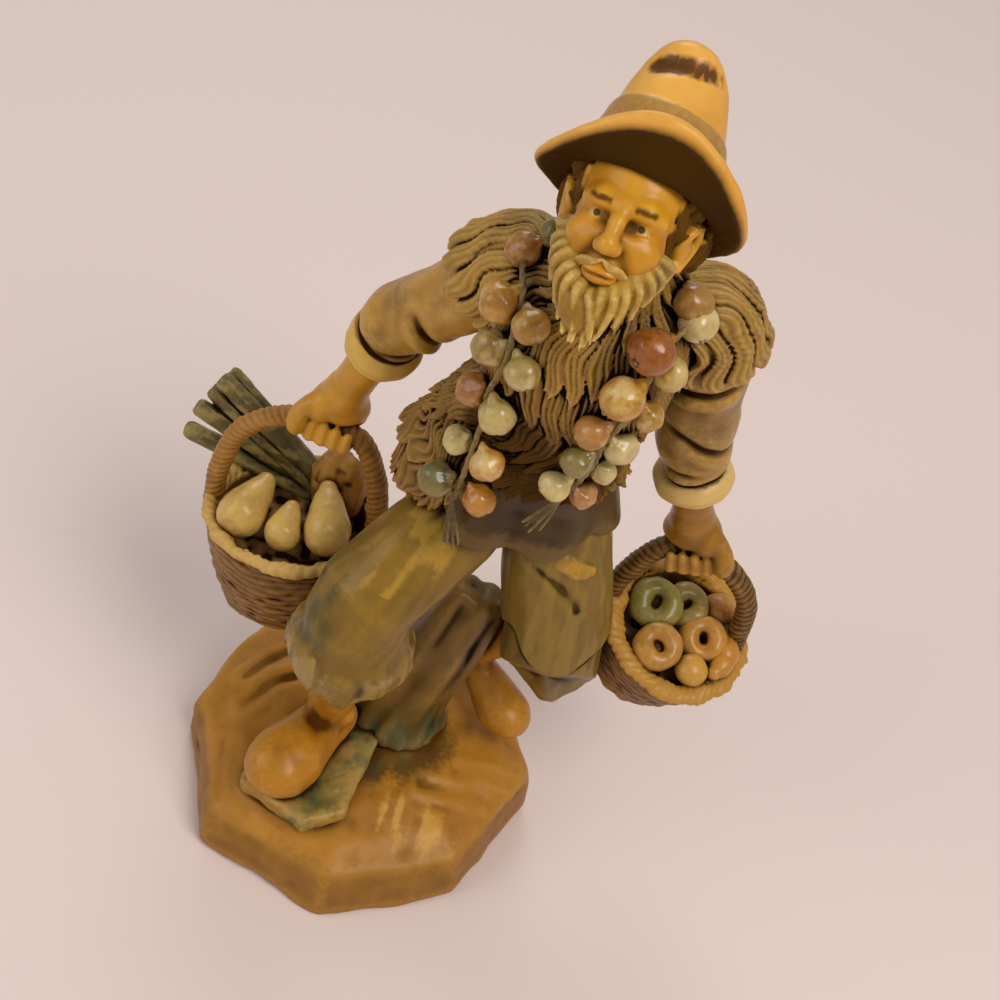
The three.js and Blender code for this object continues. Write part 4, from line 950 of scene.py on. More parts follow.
# Trousers
def sculpt_right_leg():
    clay = clay_of("right_trouser_leg", step=0.3, room=3.0)
    clay.soften(0.8)
    down = unit(R_ANKLE - R_KNEE)
    hem = mix(R_KNEE, R_ANKLE, 0.34)
    run = unit(hem - R_HIP)
    place = place_along(hem, down, at(1, 0, 0))

    def combed(p, axis=run):
        return p - 0.95 * np.outer(p @ axis, axis)

    def folds(p):
        z = place.inside(p)[:, 2]
        low = ramp(z, -11, -5)
        smooth = 0.45 * noise(combed(p), 5.0, 41) + 0.12 * noise(combed(p), 1.5, 42)
        torn = 0.7 * noise(combed(p, down), 3.2, 44) + 0.35 * noise(combed(p, down), 1.2, 48) + 1.1
        return smooth * (1 - low) + torn * low

    def ragged(p):
        torn = 1.5 - place.inside(p)[:, 2] + 5.0 * noise(combed(p, down), 3.2, 50)
        return torn + 1.5 * noise(combed(p, down), 1.1, 51)

    clay.tube([hem - down * 5, hem + down * 6], [10.0, 9.4], 3.0)
    clay.push(folds)
    clay.fill(ragged, 0.2, True)
    clay.tube([hem - down * 3, R_ANKLE], 7.4, 0.6, True)
    # Painted highlight streaks down the front of the leg and painted shade streaks on its side
    shade = painted("right_leg_paint", (134, 102, 34), (114, 86, 30), (172, 138, 60), (38, 26, 8),
                    masks=[("front_highlight", (178, 138, 52), 0.75), ("shade", (66, 62, 32), 0.8),
                           ("hem", (108, 86, 46), 0.95), ("edge", (158, 132, 88), 0.8)],
                    gloss=0.4, coat=0.15, cloud=8.0, light_share=0.4, wash_share=0.7, gap_share=0.6)

    def hem_mask(p):
        return ramp(place.inside(p)[:, 2] + 4 * noise(combed(p, down), 3.4, 45), -9, -5)

    def edge(p):
        return hem_mask(p) * (0.4 + 1.2 * noise(combed(p, down), 1.5, 47))

    # Painted highlight streaks down the front of the leg
    def front_highlight(p):
        q = place.inside(p)
        front = np.exp(-((q[:, 0] - 2 + 0.12 * q[:, 2]) / 6.5) ** 2) * (q[:, 1] < 2)
        return front * (0.42 + 1.5 * noise(combed(p), 2.2, 46)) * (1 - ramp(q[:, 2], -8, -4))

    def shade_side(p):
        q = place.inside(p)
        streak = 1.3 * noise(combed(p), 2.4, 52)
        return (1 - ramp(q[:, 0], -8, -1)) * (0.5 + streak) + 0.7 * streak * ramp(q[:, 0], 4, 9)

    piece(clay, "right_trouser_leg", shade, {
        "hem": hem_mask, "front_highlight": front_highlight, "edge": edge, "shade": shade_side}, fine_size=1.0)


def sculpt_left_leg():
    clay = clay_of("left_trouser_leg", step=0.3, room=2.0)
    clay.soften(0.5)
    hem_line = smooth_run(L_HEM + np.array([(-12, 0, 16), (-9.5, -8, 19), (-4, -9, 12.5), (2.5, -9, 11),
                                            (7, -8, 15.5), (11, 0, 20)]), 40)
    fold = L_HIP + np.array([(-2, -9, -11), (3, -9.5, -14), (8, -9.5, -18), (9.5, -9, -21)])
    patch_line = L_HIP + np.array([(4.5, -9.5, -9.4), (9, -9.3, -10.6), (14, -7.5, -10.6)])

    def above_hem(p):
        """How far a point lies above the front panel's lower edge."""
        return p[:, 2] - np.interp(p[:, 0], hem_line[:, 0], hem_line[:, 2])

    def patch(p):
        return 1 - ramp(line_gap(p, patch_line) + 0.7 * noise(p, 2.5, 54), 1.4, 2.8)

    def panel(p):
        rise = above_hem(p)
        front = p[:, 1] < 4
        step = ramp(rise, -0.3, 0.8) * front
        edge = np.exp(-((rise + 0.8) / 0.7) ** 2) * front
        grain = noise(p * at(1, 1, 0.1), 2.2, 51)
        cloth = 1.2 * step - 0.4 * edge - 0.4 + 0.25 * grain * ramp(rise, -2, 1) + 0.3 * noise(p, 9, 52)
        return cloth + 0.8 * patch(p) + fold_line(p, fold, 0.45, 1.0)

    clay.push(panel)
    # Darker paint just below the front panel's lower edge is painted shade under the flap
    shade = painted("left_leg_paint", (118, 92, 38), (102, 78, 30), (148, 120, 58), (34, 22, 6),
                    masks=[("patch", (204, 148, 46), 0.9), ("shade_under", (96, 74, 34), 0.6),
                           ("streak", (142, 116, 56), 0.6)],
                    wash_share=0.8, cloud=9.0, stretch=(1, 1, 0.3))
    piece(clay, "left_trouser_leg", shade, {
        "patch": lambda p: patch(p) * (0.9 + 0.5 * noise(p, 1.5, 53)),
        "shade_under": lambda p: 1 - ramp(above_hem(p), -1, 0.2),
        "streak": lambda p: 0.3 + 1.3 * noise(p * at(1, 1, 0.06), 1.6, 55)}, fine_size=1.3)


# Clothes of the body
def sculpt_tunic():
    clay = clay_of("tunic", step=0.35, room=1.0)
    clay.soften(0.9)

    def folds(p):
        angle = np.arctan2(p[:, 1] + 1, p[:, 0] - 13)
        low = 1 - ramp(p[:, 2], 92, 108)
        under_fleece = ramp(6 - p[:, 0], 0, 5) * ramp(p[:, 2], 82, 88)
        swing = 0.6 * np.sin(6 * angle + 1.2 * noise(p, 9, 61))
        return low * (swing + 0.3 * noise(p, 4, 62)) - 1.5 * under_fleece

    clay.push(folds)
    shade = painted("tunic_paint", (76, 55, 26), (62, 44, 20), (112, 86, 48), (26, 16, 4), gloss=0.45,
                    masks=[("edge", (112, 86, 44), 0.7)])
    piece(clay, "tunic", shade, {
        "edge": lambda p: 1 - ramp(p[:, 2] + 2 * noise(p, 5, 63), 92.5, 98)}, fine_size=1.0)


# Fleece
VEST_HEM = 0.16 * BACK_LENGTH
LOCK_WIDTH = 4.1
LOCK_LENGTH = 10.0
HAIR_PITCH = 1.3
# Two numbers that scatter where the locks start
SCATTER_TURN = 12.9898
SCATTER_REACH = 437.585


def vest_hem(angle):
    """Rise of the vest's hem round the body."""
    return 6 * np.cos(angle) - 6.5 * np.sin(angle) - 2.75 * np.cos(2 * angle) + 0.9 * np.sin(8 * angle)


def hem_gap(p):
    """Height above the vest's hem, along the back."""
    axis = unit(NECK - HIP)
    t = (p - HIP) @ axis
    off = p - HIP - np.outer(t, axis)
    angle = np.arctan2(off[:, 1] / WAIST_DEPTH, off[:, 0] / WAIST_WIDTH)
    return t - (VEST_HEM + vest_hem(angle))


def fleece_lay(p):
    """Place across a lock, place along it, side of the body and share up the back."""
    axis = unit(NECK - HIP)
    up = (p - HIP) @ axis
    off = p - HIP - np.outer(up, axis)
    angle = np.arctan2(off[:, 0] - 1, -off[:, 1])
    front = np.clip(np.cos(angle), 0, 1) ** 2
    share = up / BACK_LENGTH
    sweep = front * np.exp(-((share - 0.42) / 0.2) ** 2)
    wave = 0.55 * (1 - 0.75 * sweep) * np.sin(up / 1.9 + 9 * noise(p, 17, 74))
    wave = wave + 4.0 * noise(p, 15, 75) + 1.2 * noise(p, 6, 77)
    across = 17 * angle + wave - sweep * (up - 30) * 1.1
    column = np.floor(across / LOCK_WIDTH)
    x = across / LOCK_WIDTH - column - 0.5
    start = np.modf(np.abs(np.sin(column * SCATTER_TURN) * SCATTER_REACH))[0]
    along_lock = -up / LOCK_LENGTH + start + 0.85 * np.abs(x) ** 1.4
    return x, along_lock - np.floor(along_lock), off[:, 0], share


def sculpt_vest():
    low, high = box_of("fleece_vest")
    clay = Clay(low - at(2, 2, 8), high + 2, 0.27).add_cad("fleece_vest", "tunic")
    clay.soften(0.8)
    clay.swell(-0.2)

    def hem_cut(p):
        x, _, side, _ = fleece_lay(p)
        return hem_gap(p) + 3.2 * (0.5 - np.abs(x)) - 0.4 + 15.0 * ramp(-side, 2, 17)

    def wool(p):
        x, f, side, share = fleece_lay(p)
        flank = ramp(-side, 5, 15) * (1 - ramp(share, 0.6, 0.8))
        lock = 1.3 * f ** 1.3 * (1 - 1.7 * x * x) - 0.3 * np.exp(-((np.abs(x) - 0.5) / 0.08) ** 2) - 0.4
        spread = x * LOCK_WIDTH * (1 + 0.3 * f)
        hair = 0.5 * np.cos(TURN * spread / HAIR_PITCH + 2.4 * noise(p, 2.6, 76))
        return lock * (1 - 0.5 * flank) + 0.36 * hair

    clay.push(wool, 2.2)
    clay.fill(hem_cut, 0.3, True)
    # Painted shade: dark paint with no highlight or shine in the middle of the chest and on the figure's
    # left flank
    shade = painted("vest_paint", (154, 116, 54), (124, 90, 38), (200, 158, 88), (28, 16, 4),
                    masks=[("deep", (74, 48, 18), 0.9)], dull="deep", gloss=0.46, cloud=9.0,
                    wash_share=0.9, gap_share=0.9, hollow_share=0.95)

    # Painted shade: darkest in the middle of the chest and on the figure's left flank, lighter near the top
    # and on the lower right flank
    def deep(p):
        _, _, side, share = fleece_lay(p)
        middle = np.exp(-((share - 0.4) / 0.16) ** 2) * (1 - ramp(np.abs(side), 8, 16))
        low_flank = ramp(-side, 8, 15) * (1 - ramp(share, 0.25, 0.4))
        dark = 1.3 * middle + 0.3 * ramp(side, 6, 14) + 0.25 + 0.5 * noise(p, 7, 73)
        return dark - 0.3 * ramp(share, 0.6, 0.8) - 0.5 * low_flank

    piece(clay, "fleece_vest", shade, {"deep": deep}, fine_size=0.5)


CAP_STEPS = 25
CAP_HAIRS = 44
CAP_TONGUES = 13


def sculpt_cap(node, shoulder, elbow, inward, reach, tone, seed):
    clay = clay_of(node, step=0.26, room=2.5)
    clay.soften(0.7)
    stations = [shoulder + at(inward * 10, -4, 8), shoulder + at(inward * 6, -2.5, 6),
                shoulder + at(inward * 2.2, -1, 3.6), mix(shoulder, elbow, reach) + at(inward * 1.2, 0, 1)]
    middles = smooth_run(stations, CAP_STEPS)
    headings = headings_of(middles)
    sides = at(0, 1, 0) - headings * headings[:, 1:2]
    sides /= np.linalg.norm(sides, axis=1, keepdims=True)
    fronts = np.cross(headings, sides)

    def lay(p):
        """Turn round the cap and distance before its outer end."""
        nearest = nearest_of(p, middles)
        off = p - middles[nearest]
        angle = np.arctan2((off * fronts[nearest]).sum(1), (off * sides[nearest]).sum(1))
        before = (middles[-1] - p) @ headings[-1]
        curl = 0.05 * np.sin(before / 1.3 + 6 * noise(p, 14, seed))
        return angle + curl + 0.12 * noise(p, 5, seed + 1), before

    def fleece(p):
        angle, before = lay(p)
        outer = 1 - ramp(before, 2, 22)
        tongue = np.abs(np.cos(CAP_TONGUES / 2 * angle)) ** 0.9
        hair = 0.5 * np.cos(CAP_HAIRS * angle + 2.4 * noise(p, 3, seed + 2))
        lip = 1 - ramp(before, 1, 5)
        return 0.32 * hair * ramp(outer, 0.02, 0.25) + 1.0 * (tongue - 0.6) * outer + 0.7 * lip

    def ragged(p):
        angle, before = lay(p)
        tongue = np.abs(np.cos(CAP_TONGUES / 2 * angle)) ** 0.6
        return before + 1.8 * tongue - 0.9 + 0.5 * np.abs(np.cos(CAP_HAIRS / 2 * angle))

    clay.push(fleece, 2.2)
    clay.fill(ragged, 0.2, True)
    shade = painted(node + "_paint", tone, toned(tone, 0.82), (214, 176, 106), (44, 26, 6),
                    wash_share=0.9, gap_share=0.7, cloud=9.0)
    piece(clay, node, shade, fine_size=0.55)


# Head
SKULL = at(8.5, 9.8, 9.2)
SKULL_MIDDLE = at(0, 1.0, 3.8)
FACE = at(7.3, 7.9, 9.4)
FACE_MIDDLE = at(0, -1.6, -2.6)
EYE_SIDE = 3.3
EYE_HEIGHT = 0.2
EYE_RADIUS = 1.5
LID_LOW = -0.5
LID_HIGH = 0.55
MOP = at(11.0, 9.6, 10.0)
MOP_MIDDLE = at(0, 2.2, 2.2)
MOP_TAPER = 0.6 * np.array([0.8, 1, 1.1, 1.1, 1.1, 1.1, 1, 0.9, 0.7, 0.4])
BURNS_TAPER = 0.42 * np.array([0.7, 1, 1, 1, 1, 0.9, 0.7, 0.3])
# One side's ear rim
HELIX = [(7.9, -1.3, -0.9), (8.7, -1.3, 0.6), (9.3, -0.6, 1.9), (9.7, 0.9, 2.3), (9.9, 2.2, 1.2),
         (9.7, 2.2, -0.7), (9.2, 1.0, -2.7), (8.7, -0.2, -3.7), (8.0, -1.0, -3.4)]


def on_face(x, z, proud):
    """Point on the front of the face, in the head's frame."""
    inside = max(0.06, 1 - (x / FACE[0]) ** 2 - ((z - FACE_MIDDLE[2]) / FACE[2]) ** 2)
    return np.array([x, FACE_MIDDLE[1] - FACE[1] * math.sqrt(inside) - proud, z])


def half_width(form, middle, y, z, least):
    """How far an egg-shaped form reaches sideways at a place in the head's frame."""
    off_y = (y - middle[1]) / form[1]
    off_z = (z - middle[2]) / form[2]
    return form[0] * math.sqrt(max(least, 1 - off_y ** 2 - off_z ** 2))


def egg_gap(q, middle, half):
    """About 0 on an egg-shaped form, less inside it and 1 at twice its size."""
    return np.linalg.norm((q - middle) / half, axis=1) - 1


def sculpt_head():
    clay = clear_clay("head", 0.24, 3.0)
    h = HEAD.out
    clay.egg(HEAD, SKULL_MIDDLE, SKULL, 0.5)
    clay.egg(HEAD, FACE_MIDDLE, FACE, 1.5)
    clay.egg(HEAD, (0, -3.2, -8.2), (5.3, 5.0, 4.6), 1.5)
    clay.tube([h(0, 3, -4), mix(HEAD.origin, NECK, 0.8), along(NECK, HIP - NECK, 6)], [5.6, 5.6, 6.0], 1.5)
    for s in (-1, 1):
        clay.egg(HEAD, (s * EYE_SIDE, -9.3, 0.4), (2.5, 1.4, 1.5), 1.1, True)
        brow = [h(s * 1.2, -8.4, 2.3), h(s * 3.4, -8.2, 2.6), h(s * 5.4, -6.7, 1.9)]
        clay.tube(brow, [0.7, 0.75, 0.6], 2.0)
        clay.egg(HEAD, (s * 4.3, -6.6, -3.0), (2.3, 1.7, 1.9), 2.2)
    for s in (-1, 1):
        middle = np.array([s * EYE_SIDE, -6.75, EYE_HEIGHT])
        clay.ball(h(*middle), EYE_RADIUS, 0.1)

        def lids(p, middle=middle):
            q = HEAD.inside(p) - middle
            bow = 0.16 * q[:, 0] ** 2
            shell = np.linalg.norm(q, axis=1) - EYE_RADIUS - 0.3
            open_eye = np.maximum(q[:, 2] - LID_HIGH + bow, LID_LOW - q[:, 2] + 0.5 * bow)
            return np.maximum(shell, -open_eye)

        clay.fill(lids, 0.15)
    clay.tube([h(0, -8.7, 2.2), h(0, -9.7, 0.2), h(0, -10.8, -2.6)], [0.85, 0.95, 1.2], 1.0)
    clay.ball(h(0, -10.9, -3.0), 1.3, 0.9)
    clay.egg(HEAD, (0, -8.3, -6.2), (2.2, 1.2, 1.6), 1.0)
    for s in (-1, 1):
        clay.ball(h(s * 1.2, -10.0, -3.4), 0.9, 0.6)
        clay.ball(h(s * 0.7, -10.6, -4.35), 0.3, 0.25, True)
    upper_lip = [h(-2.0, -8.6, -7.1), h(-0.9, -9.15, -6.9), h(0, -9.2, -7.0), h(0.9, -9.15, -6.9),
                 h(2.0, -8.6, -7.1)]
    clay.tube(smooth_run(upper_lip, 12), [0.25] + [0.4] * 10 + [0.25], 0.6)
    lower_lip = [h(-1.7, -8.6, -7.75), h(0, -9.1, -8.0), h(1.7, -8.6, -7.75)]
    clay.tube(smooth_run(lower_lip, 10), [0.25] + [0.48] * 8 + [0.25], 0.6)
    mouth = [h(-2.1, -9.0, -7.45), h(0, -9.6, -7.5), h(2.1, -9.0, -7.45)]
    creases = [[h(s * 1.9, -9.3, -3.9), h(s * 2.9, -8.8, -5.0), h(s * 3.5, -8.2, -6.4)] for s in (-1, 1)]
    for s in (-1, 1):
        clay.egg(HEAD, (s * 8.2, 0.4, -0.9), (1.5, 2.0, 2.8), 0.8)
        clay.tube(smooth_run([h(s * x, y, z) for x, y, z in HELIX], 24), 0.62, 0.4)
        clay.ball(h(s * 8.7, -0.3, -3.5), 0.9, 0.6)
        for k in range(9):
            x = 1.5 + 0.42 * k
            root = on_face(s * x, 2.3 + 0.1 * k - 0.025 * k * k, 0.5)
            tip = on_face(s * (x + 0.9), 2.7 + 0.08 * k - 0.035 * k * k, 0.6)
            clay.tube([h(*root), h(*tip)], [0.3, 0.12], 0.15)
    clay.soften(0.18)
    clay.push(lambda p: fold_line(p, mouth, 0.3, 0.3) + fold_line(p, creases[0], 0.22, 0.8)
              + fold_line(p, creases[1], 0.22, 0.8))
    dice = np.random.default_rng(82)

    def hair_mass(p):
        q = HEAD.inside(p)
        below_hat = HAT.inside(p)[:, 2] - 0.4
        front = 1.2 - (q[:, 1] - MOP_MIDDLE[1])
        return np.maximum(np.maximum(egg_gap(q, MOP_MIDDLE, MOP) * 9, front), below_hat)

    clay.fill(hair_mass, 0.4)

    def side_hair(p):
        q = HEAD.inside(p)
        folded = np.stack([np.abs(q[:, 0]), q[:, 1], q[:, 2]], 1)
        temple = egg_gap(folded, at(8.4, -0.2, 6.2), at(2.0, 3.8, 3.0)) * 2.0
        nape = egg_gap(folded, at(9.4, 6.4, 0.5), at(2.3, 3.5, 4.8)) * 2.3
        return np.maximum(np.minimum(temple, nape), HAT.inside(p)[:, 2] - 0.2)

    clay.fill(side_hair, 0.5)
    for s in (-1, 1):
        for k in range(26):
            turn = 0.16 + 1.35 * k / 25
            y = MOP_MIDDLE[1] + MOP[1] * math.sin(turn) * 0.98
            run = []
            for z in (6.0, 4.0, 1.5, -1.5, -4.2, -6.4):
                x = half_width(MOP, MOP_MIDDLE, y, z, 0.03) + 0.1 + dice.normal(0, 0.12)
                point = h(s * x, y + dice.normal(0, 0.15), z + dice.normal(0, 0.3))
                if HAT.inside(point[None])[0, 2] < 0:
                    run.append(point)
            if len(run) > 2:
                clay.tube(smooth_run(run, len(MOP_TAPER)), MOP_TAPER, 0.06)
        for k in range(7):
            y = -4.4 + 0.6 * k
            run = []
            for z in (5.5, 3.2, 1.0, -1.2, -3.2):
                wide = half_width(SKULL, SKULL_MIDDLE, y, max(z, -1), 0.05)
                run.append(h(s * (wide + 0.05), y + 0.2 * math.sin(z + k), z))
            clay.tube(smooth_run(run, len(BURNS_TAPER)), BURNS_TAPER, 0.06)

    def hair(p):
        q = HEAD.inside(p)
        wide = np.abs(q[:, 0])
        behind = ramp(q[:, 1], 2.4, 3.2) * (q[:, 2] > -9)
        before_ear = (1 - ramp(q[:, 1], -2.2, -1.6)) * ramp(q[:, 1], -5.2, -4.4)
        burns = ramp(wide, 6.2, 6.8) * before_ear * ramp(q[:, 2], -4, -3)
        arch = np.exp(-((q[:, 2] - 2.6) / 0.6) ** 2) * ramp(wide, 1.3, 1.9) * (q[:, 1] < -7.0)
        temple = ramp(wide, 7.2, 7.8) * ramp(q[:, 2], 2.0, 3.0)
        off_ear = egg_gap(np.stack([wide, q[:, 1], q[:, 2]], 1), at(9.2, 0.5, -0.8), at(2.2, 2.9, 4.0))
        all_hair = np.clip(behind + burns + temple + 0.8 * arch * (1 - ramp(wide, 4.6, 5.6)), 0, 1)
        return np.maximum(all_hair * ramp(off_ear, -0.1, 0.05), behind * ramp(q[:, 1], 2.7, 3.0))

    def curls(p):
        q = HEAD.inside(p)
        swing = TURN * (q[:, 1] + 0.4 * q[:, 2] + noise(p, 3, 83)) / 1.5
        return 0.3 * hair(p) * np.cos(swing) * (q[:, 1] > -5)

    clay.push(curls)

    def lips(p):
        q = HEAD.inside(p)
        return np.exp(-(q[:, 0] / 2.0) ** 4 - ((q[:, 2] + 7.45) / 0.75) ** 4) * (q[:, 1] < -8.2)

    def eyes(p):
        q = HEAD.inside(p)
        gap = np.hypot((np.abs(q[:, 0]) - EYE_SIDE) / 1.9, (q[:, 2] - EYE_HEIGHT) / 0.8)
        return (1 - ramp(gap, 0.55, 0.8)) * (q[:, 1] < -7.0)

    def iris(p):
        q = HEAD.inside(p)
        off = np.hypot(np.abs(q[:, 0]) - EYE_SIDE, q[:, 2] - 0.3)
        return (1 - ramp(off, 0.42, 0.62)) * (q[:, 1] < -7.6)

    # The skin tone is set lighter to lift the face out of the hat's cast shadow: painted light
    shade = painted("face_paint", (210, 150, 36), (186, 124, 24), (236, 184, 82), (48, 26, 4),
                    masks=[("hair", (82, 56, 20), 0.92), ("lips", (160, 96, 40), 0.7),
                           ("eyes", (206, 176, 112), 0.8), ("iris", (34, 20, 8), 0.9)],
                    gloss=0.34, coat=0.2, dull="hair",
                    wash_share=0.5, gap_share=0.15, hollow_share=0.15, crowd_share=0.2, light_share=0.4)
    piece(clay, "head", shade, {
        "hair": hair, "lips": lips, "eyes": eyes, "iris": iris}, fine_size=0.6)


BEARD_LOCKS = 15
# Layers of locks: turn, how far sunk, how much longer
BEARD_LAYERS = ((0.5, 0.0, 0.0), (0.0, -0.9, 1.2))
# Hairs of a lock: place across it, size, height
LOCK_HAIRS = ((-0.52, 0.28, 0.0), (-0.26, 0.32, 0.3), (0, 0.34, 0.42), (0.26, 0.32, 0.3), (0.52, 0.28, 0.0))
LOCK_TAPER = np.array([0.7, 0.9, 1, 1.05, 1.1, 1.05, 0.95, 0.8, 0.5])
MOUSTACHE_TAPER = 0.32 * np.array([0.8, 1, 1.05, 1, 0.9, 0.7, 0.4])


def sculpt_beard():
    dice = np.random.default_rng(91)
    clay = clay_of("beard", step=0.22, room=2.5)
    clay.soften(0.6)
    clay.swell(-1.3)
    h = HEAD.out

    def jaw(a):
        x = 7.9 * math.sin(a * 1.42)
        return np.array([x, -8.3 * math.cos(a * 1.42), -11.8 + 9.0 * abs(a) ** 2.0])

    def cheek(a):
        x = 6.9 * math.sin(a * 1.35)
        return on_face(x, -9.0 + 6.9 * abs(a) ** 1.1, -0.1)

    for k in range(2 * BEARD_LOCKS):
        shift_round, sunk, longer = BEARD_LAYERS[k % 2]
        a = np.clip(-1 + 2 * (k // 2 + shift_round) / BEARD_LOCKS + dice.normal(0, 0.012), -1, 1)
        chin = 1 - abs(a)
        start = cheek(a)
        edge = jaw(a)
        out = unit(np.array([edge[0], edge[1] + 0.5, 0]))
        tangent = unit(jaw(min(1, a + 0.03)) - jaw(max(-1, a - 0.03)))
        fall = np.array([0, 0, -1.0])
        drop = 1.3 + 3.8 * chin ** 1.6 + dice.uniform(-0.4, 0.4) + longer * chin
        end = edge + out * (0.7 + sunk) + fall * drop + tangent * dice.normal(0, 0.4)
        lean = dice.normal(0, 0.5)
        for offset, size, height in LOCK_HAIRS:
            bulge = out * (0.7 + 1.3 * chin + 1.4 * height + sunk)
            shift = tangent * offset * 1.25
            run = [start + shift * 0.9, (start + edge) / 2 + bulge + shift,
                   edge + bulge * 0.9 + shift + tangent * lean * 0.6,
                   end + shift * 0.6 + tangent * lean + fall * dice.normal(0, 0.3)]
            clay.tube(smooth_run([h(*q) for q in run], len(LOCK_TAPER)), size * LOCK_TAPER, 0.03)
    for s in (-1, 1):
        for k in range(9):
            t = k / 8
            start = on_face(s * (0.1 + 0.9 * t), -5.2 - 0.3 * t, 0.6)
            middle = on_face(s * (1.2 + 1.8 * t), -6.1 + 0.2 * t, 0.95)
            end_side = 1.8 + 2.9 * t + dice.normal(0, 0.1)
            end = on_face(s * end_side, -6.9 - 1.1 * t + dice.normal(0, 0.2), 0.6)
            run = smooth_run([h(*start), h(*middle), h(*end)], len(MOUSTACHE_TAPER))
            clay.tube(run, MOUSTACHE_TAPER, 0.03)
    shade = painted("beard_paint", (176, 136, 54), (146, 106, 36), (242, 208, 134), (36, 21, 4),
                    masks=[("darker_sides", (104, 80, 38), 0.8)], gloss=0.36, cloud=5.0,
                    wash_share=1.1, gap_share=1.0, hollow_share=0.5, crowd_share=0.4, light_share=0.8)

    # Darker towards the sides of the beard
    def darker_sides(p):
        q = HEAD.inside(p)
        return ramp(np.abs(q[:, 0]), 4.5, 8) * 0.7 + 0.35 * noise(p, 3, 92)

    piece(clay, "beard", shade, {"darker_sides": darker_sides}, fine_size=0.42)


CROWN_RADIUS = 10.8
CROWN_HEIGHT = 21.5
CROWN_TIP = 3.4
HAT_DEPTH = 11.5
BRIM_RADIUS = 16.4
BRIM_LIFT = 5.2


def sculpt_hat():
    clay = clear_clay("hat", 0.32, 2)

    def straightened(p):
        """Hat-local points with the brim's turn-up and the crown's lean taken out."""
        q, reach, angle = HAT.polar(p)
        front = np.maximum(0, -np.sin(angle))
        turn_up = BRIM_LIFT * front ** 2 + 0.7 * np.sin(3 * angle + 0.8) - 1
        lift = ramp(reach, CROWN_RADIUS, BRIM_RADIUS) * turn_up
        rise = np.clip(q[:, 2] / CROWN_HEIGHT, 0, 1)
        return np.stack([q[:, 0] + 1.8 * rise, q[:, 1] + 3.2 * rise ** 2, q[:, 2] - lift], 1)

    def crown_at(height):
        return CROWN_RADIUS * (1 - 0.58 * np.clip(height / CROWN_HEIGHT, 0, 1.1) ** 1.15)

    def felt(p):
        q = straightened(p)
        r = np.hypot(q[:, 0], q[:, 1])
        brim = np.hypot(np.maximum(r - BRIM_RADIUS + 1.25, 0), q[:, 2] - 0.75) - 1.2
        slope = 0.9 * (r - crown_at(q[:, 2] - 1.7))
        into_tip = q[:, 2] - CROWN_HEIGHT + CROWN_TIP
        tip = np.sqrt(r ** 2 + np.maximum(0, into_tip) ** 2) - crown_at(q[:, 2]) * 1.05
        crown = np.maximum(np.maximum(slope, -q[:, 2]), np.where(into_tip > 0, tip, slope))
        outside = soft_min(brim, crown, 1.2)
        funnel = 9.0 + 2.4 * (1 - ramp(q[:, 2], -1.5, 1.2))
        bore = np.minimum(funnel, crown_at(q[:, 2]) - 1.3 + 2 * (q[:, 2] < 2.5))
        hollow = np.maximum(r - bore, q[:, 2] - HAT_DEPTH)
        return np.maximum(outside, -hollow)

    clay.fill(felt)
    clay.soften(0.45)
    hat = HAT.out
    dent_line = [hat(-6.4, -5.6, 16.4), hat(-2.2, -8.6, 17.4), hat(2.6, -7.8, 18.6)]

    def dent_depth(p):
        return np.exp(-(line_gap(p, dent_line) / 1.9) ** 2)

    clay.push(lambda p: 0.4 * noise(p, 10, 101) + 0.1 * noise(p, 2.5, 102) - 1.0 * dent_depth(p), 2.6)

    def band(p):
        q = straightened(p)
        on_crown = np.hypot(q[:, 0], q[:, 1]) < 12.6
        return ramp(q[:, 2], 4.6, 5.4) * (1 - ramp(q[:, 2], 10.2, 11.2)) * on_crown

    clay.push(lambda p: 0.35 * band(p))

    # Painted shade under the brim and inside the crown's hollow, dark and with no highlight or shine
    def shade_under(p):
        q = straightened(p)
        r = np.hypot(q[:, 0], q[:, 1])
        below = (1 - ramp(q[:, 2], 0.1, 1.0)) * (1 - ramp(r, 14.0, 17.2))
        hollow = (r < crown_at(q[:, 2] - 1.7) - 0.8) * (q[:, 2] < HAT_DEPTH + 0.1) * (q[:, 2] > 0)
        return 1.2 * below + 1.2 * hollow

    # Dark paint along the crown's dent: painted shade in the fold
    def shaded_dent(p):
        near = line_gap(p, dent_line)
        streak = noise(HAT.inside(p) * at(1, 1, 0.2), 0.6, 103)
        return (1 - ramp(near, 0.5, 2.7)) * (1.0 + 0.6 * streak)

    # The near-black paint under the brim and along the dent is painted shade
    shade = painted("hat_paint", (232, 172, 84), (212, 150, 62), (246, 196, 116), (76, 42, 8),
                    masks=[("band", (128, 98, 58), 0.85, 0.3), ("shade_under", (50, 29, 6), 0.97, 0.03),
                           ("shaded_dent", (82, 43, 10), 0.92, 0.12)],
                    gloss=0.38, coat=0.15, dull="shade_under", cloud=12.0,
                    wash_share=0.5, crowd_share=0.7, light_share=0.25)
    piece(clay, "hat", shade, {"band": band, "shade_under": shade_under, "shaded_dent": shaded_dent}, fine_size=1.2)


# Strings of onions and garlic
# Routes: angle round the clothes in degrees, share up the back
R_ROUTE = [(-205, 1.05), (-166, 0.985), (-131, 0.895), (-127, 0.77), (-134, 0.575), (-122, 0.385),
           (-112, 0.22), (-108, 0.1)]
L_ROUTE = [(45, 1.06), (-19, 0.966), (-56, 0.881), (-59, 0.759), (-65.5, 0.615), (-64, 0.486),
           (-66.5, 0.36), (-71, 0.27)]
CORD_STAND = 2.2
CORD_PLIES = 3
PLY_RADIUS = 0.29
PLY_SWING = 0.3
PLY_TURN = 0.8
BULB_RADIUS = 3.0

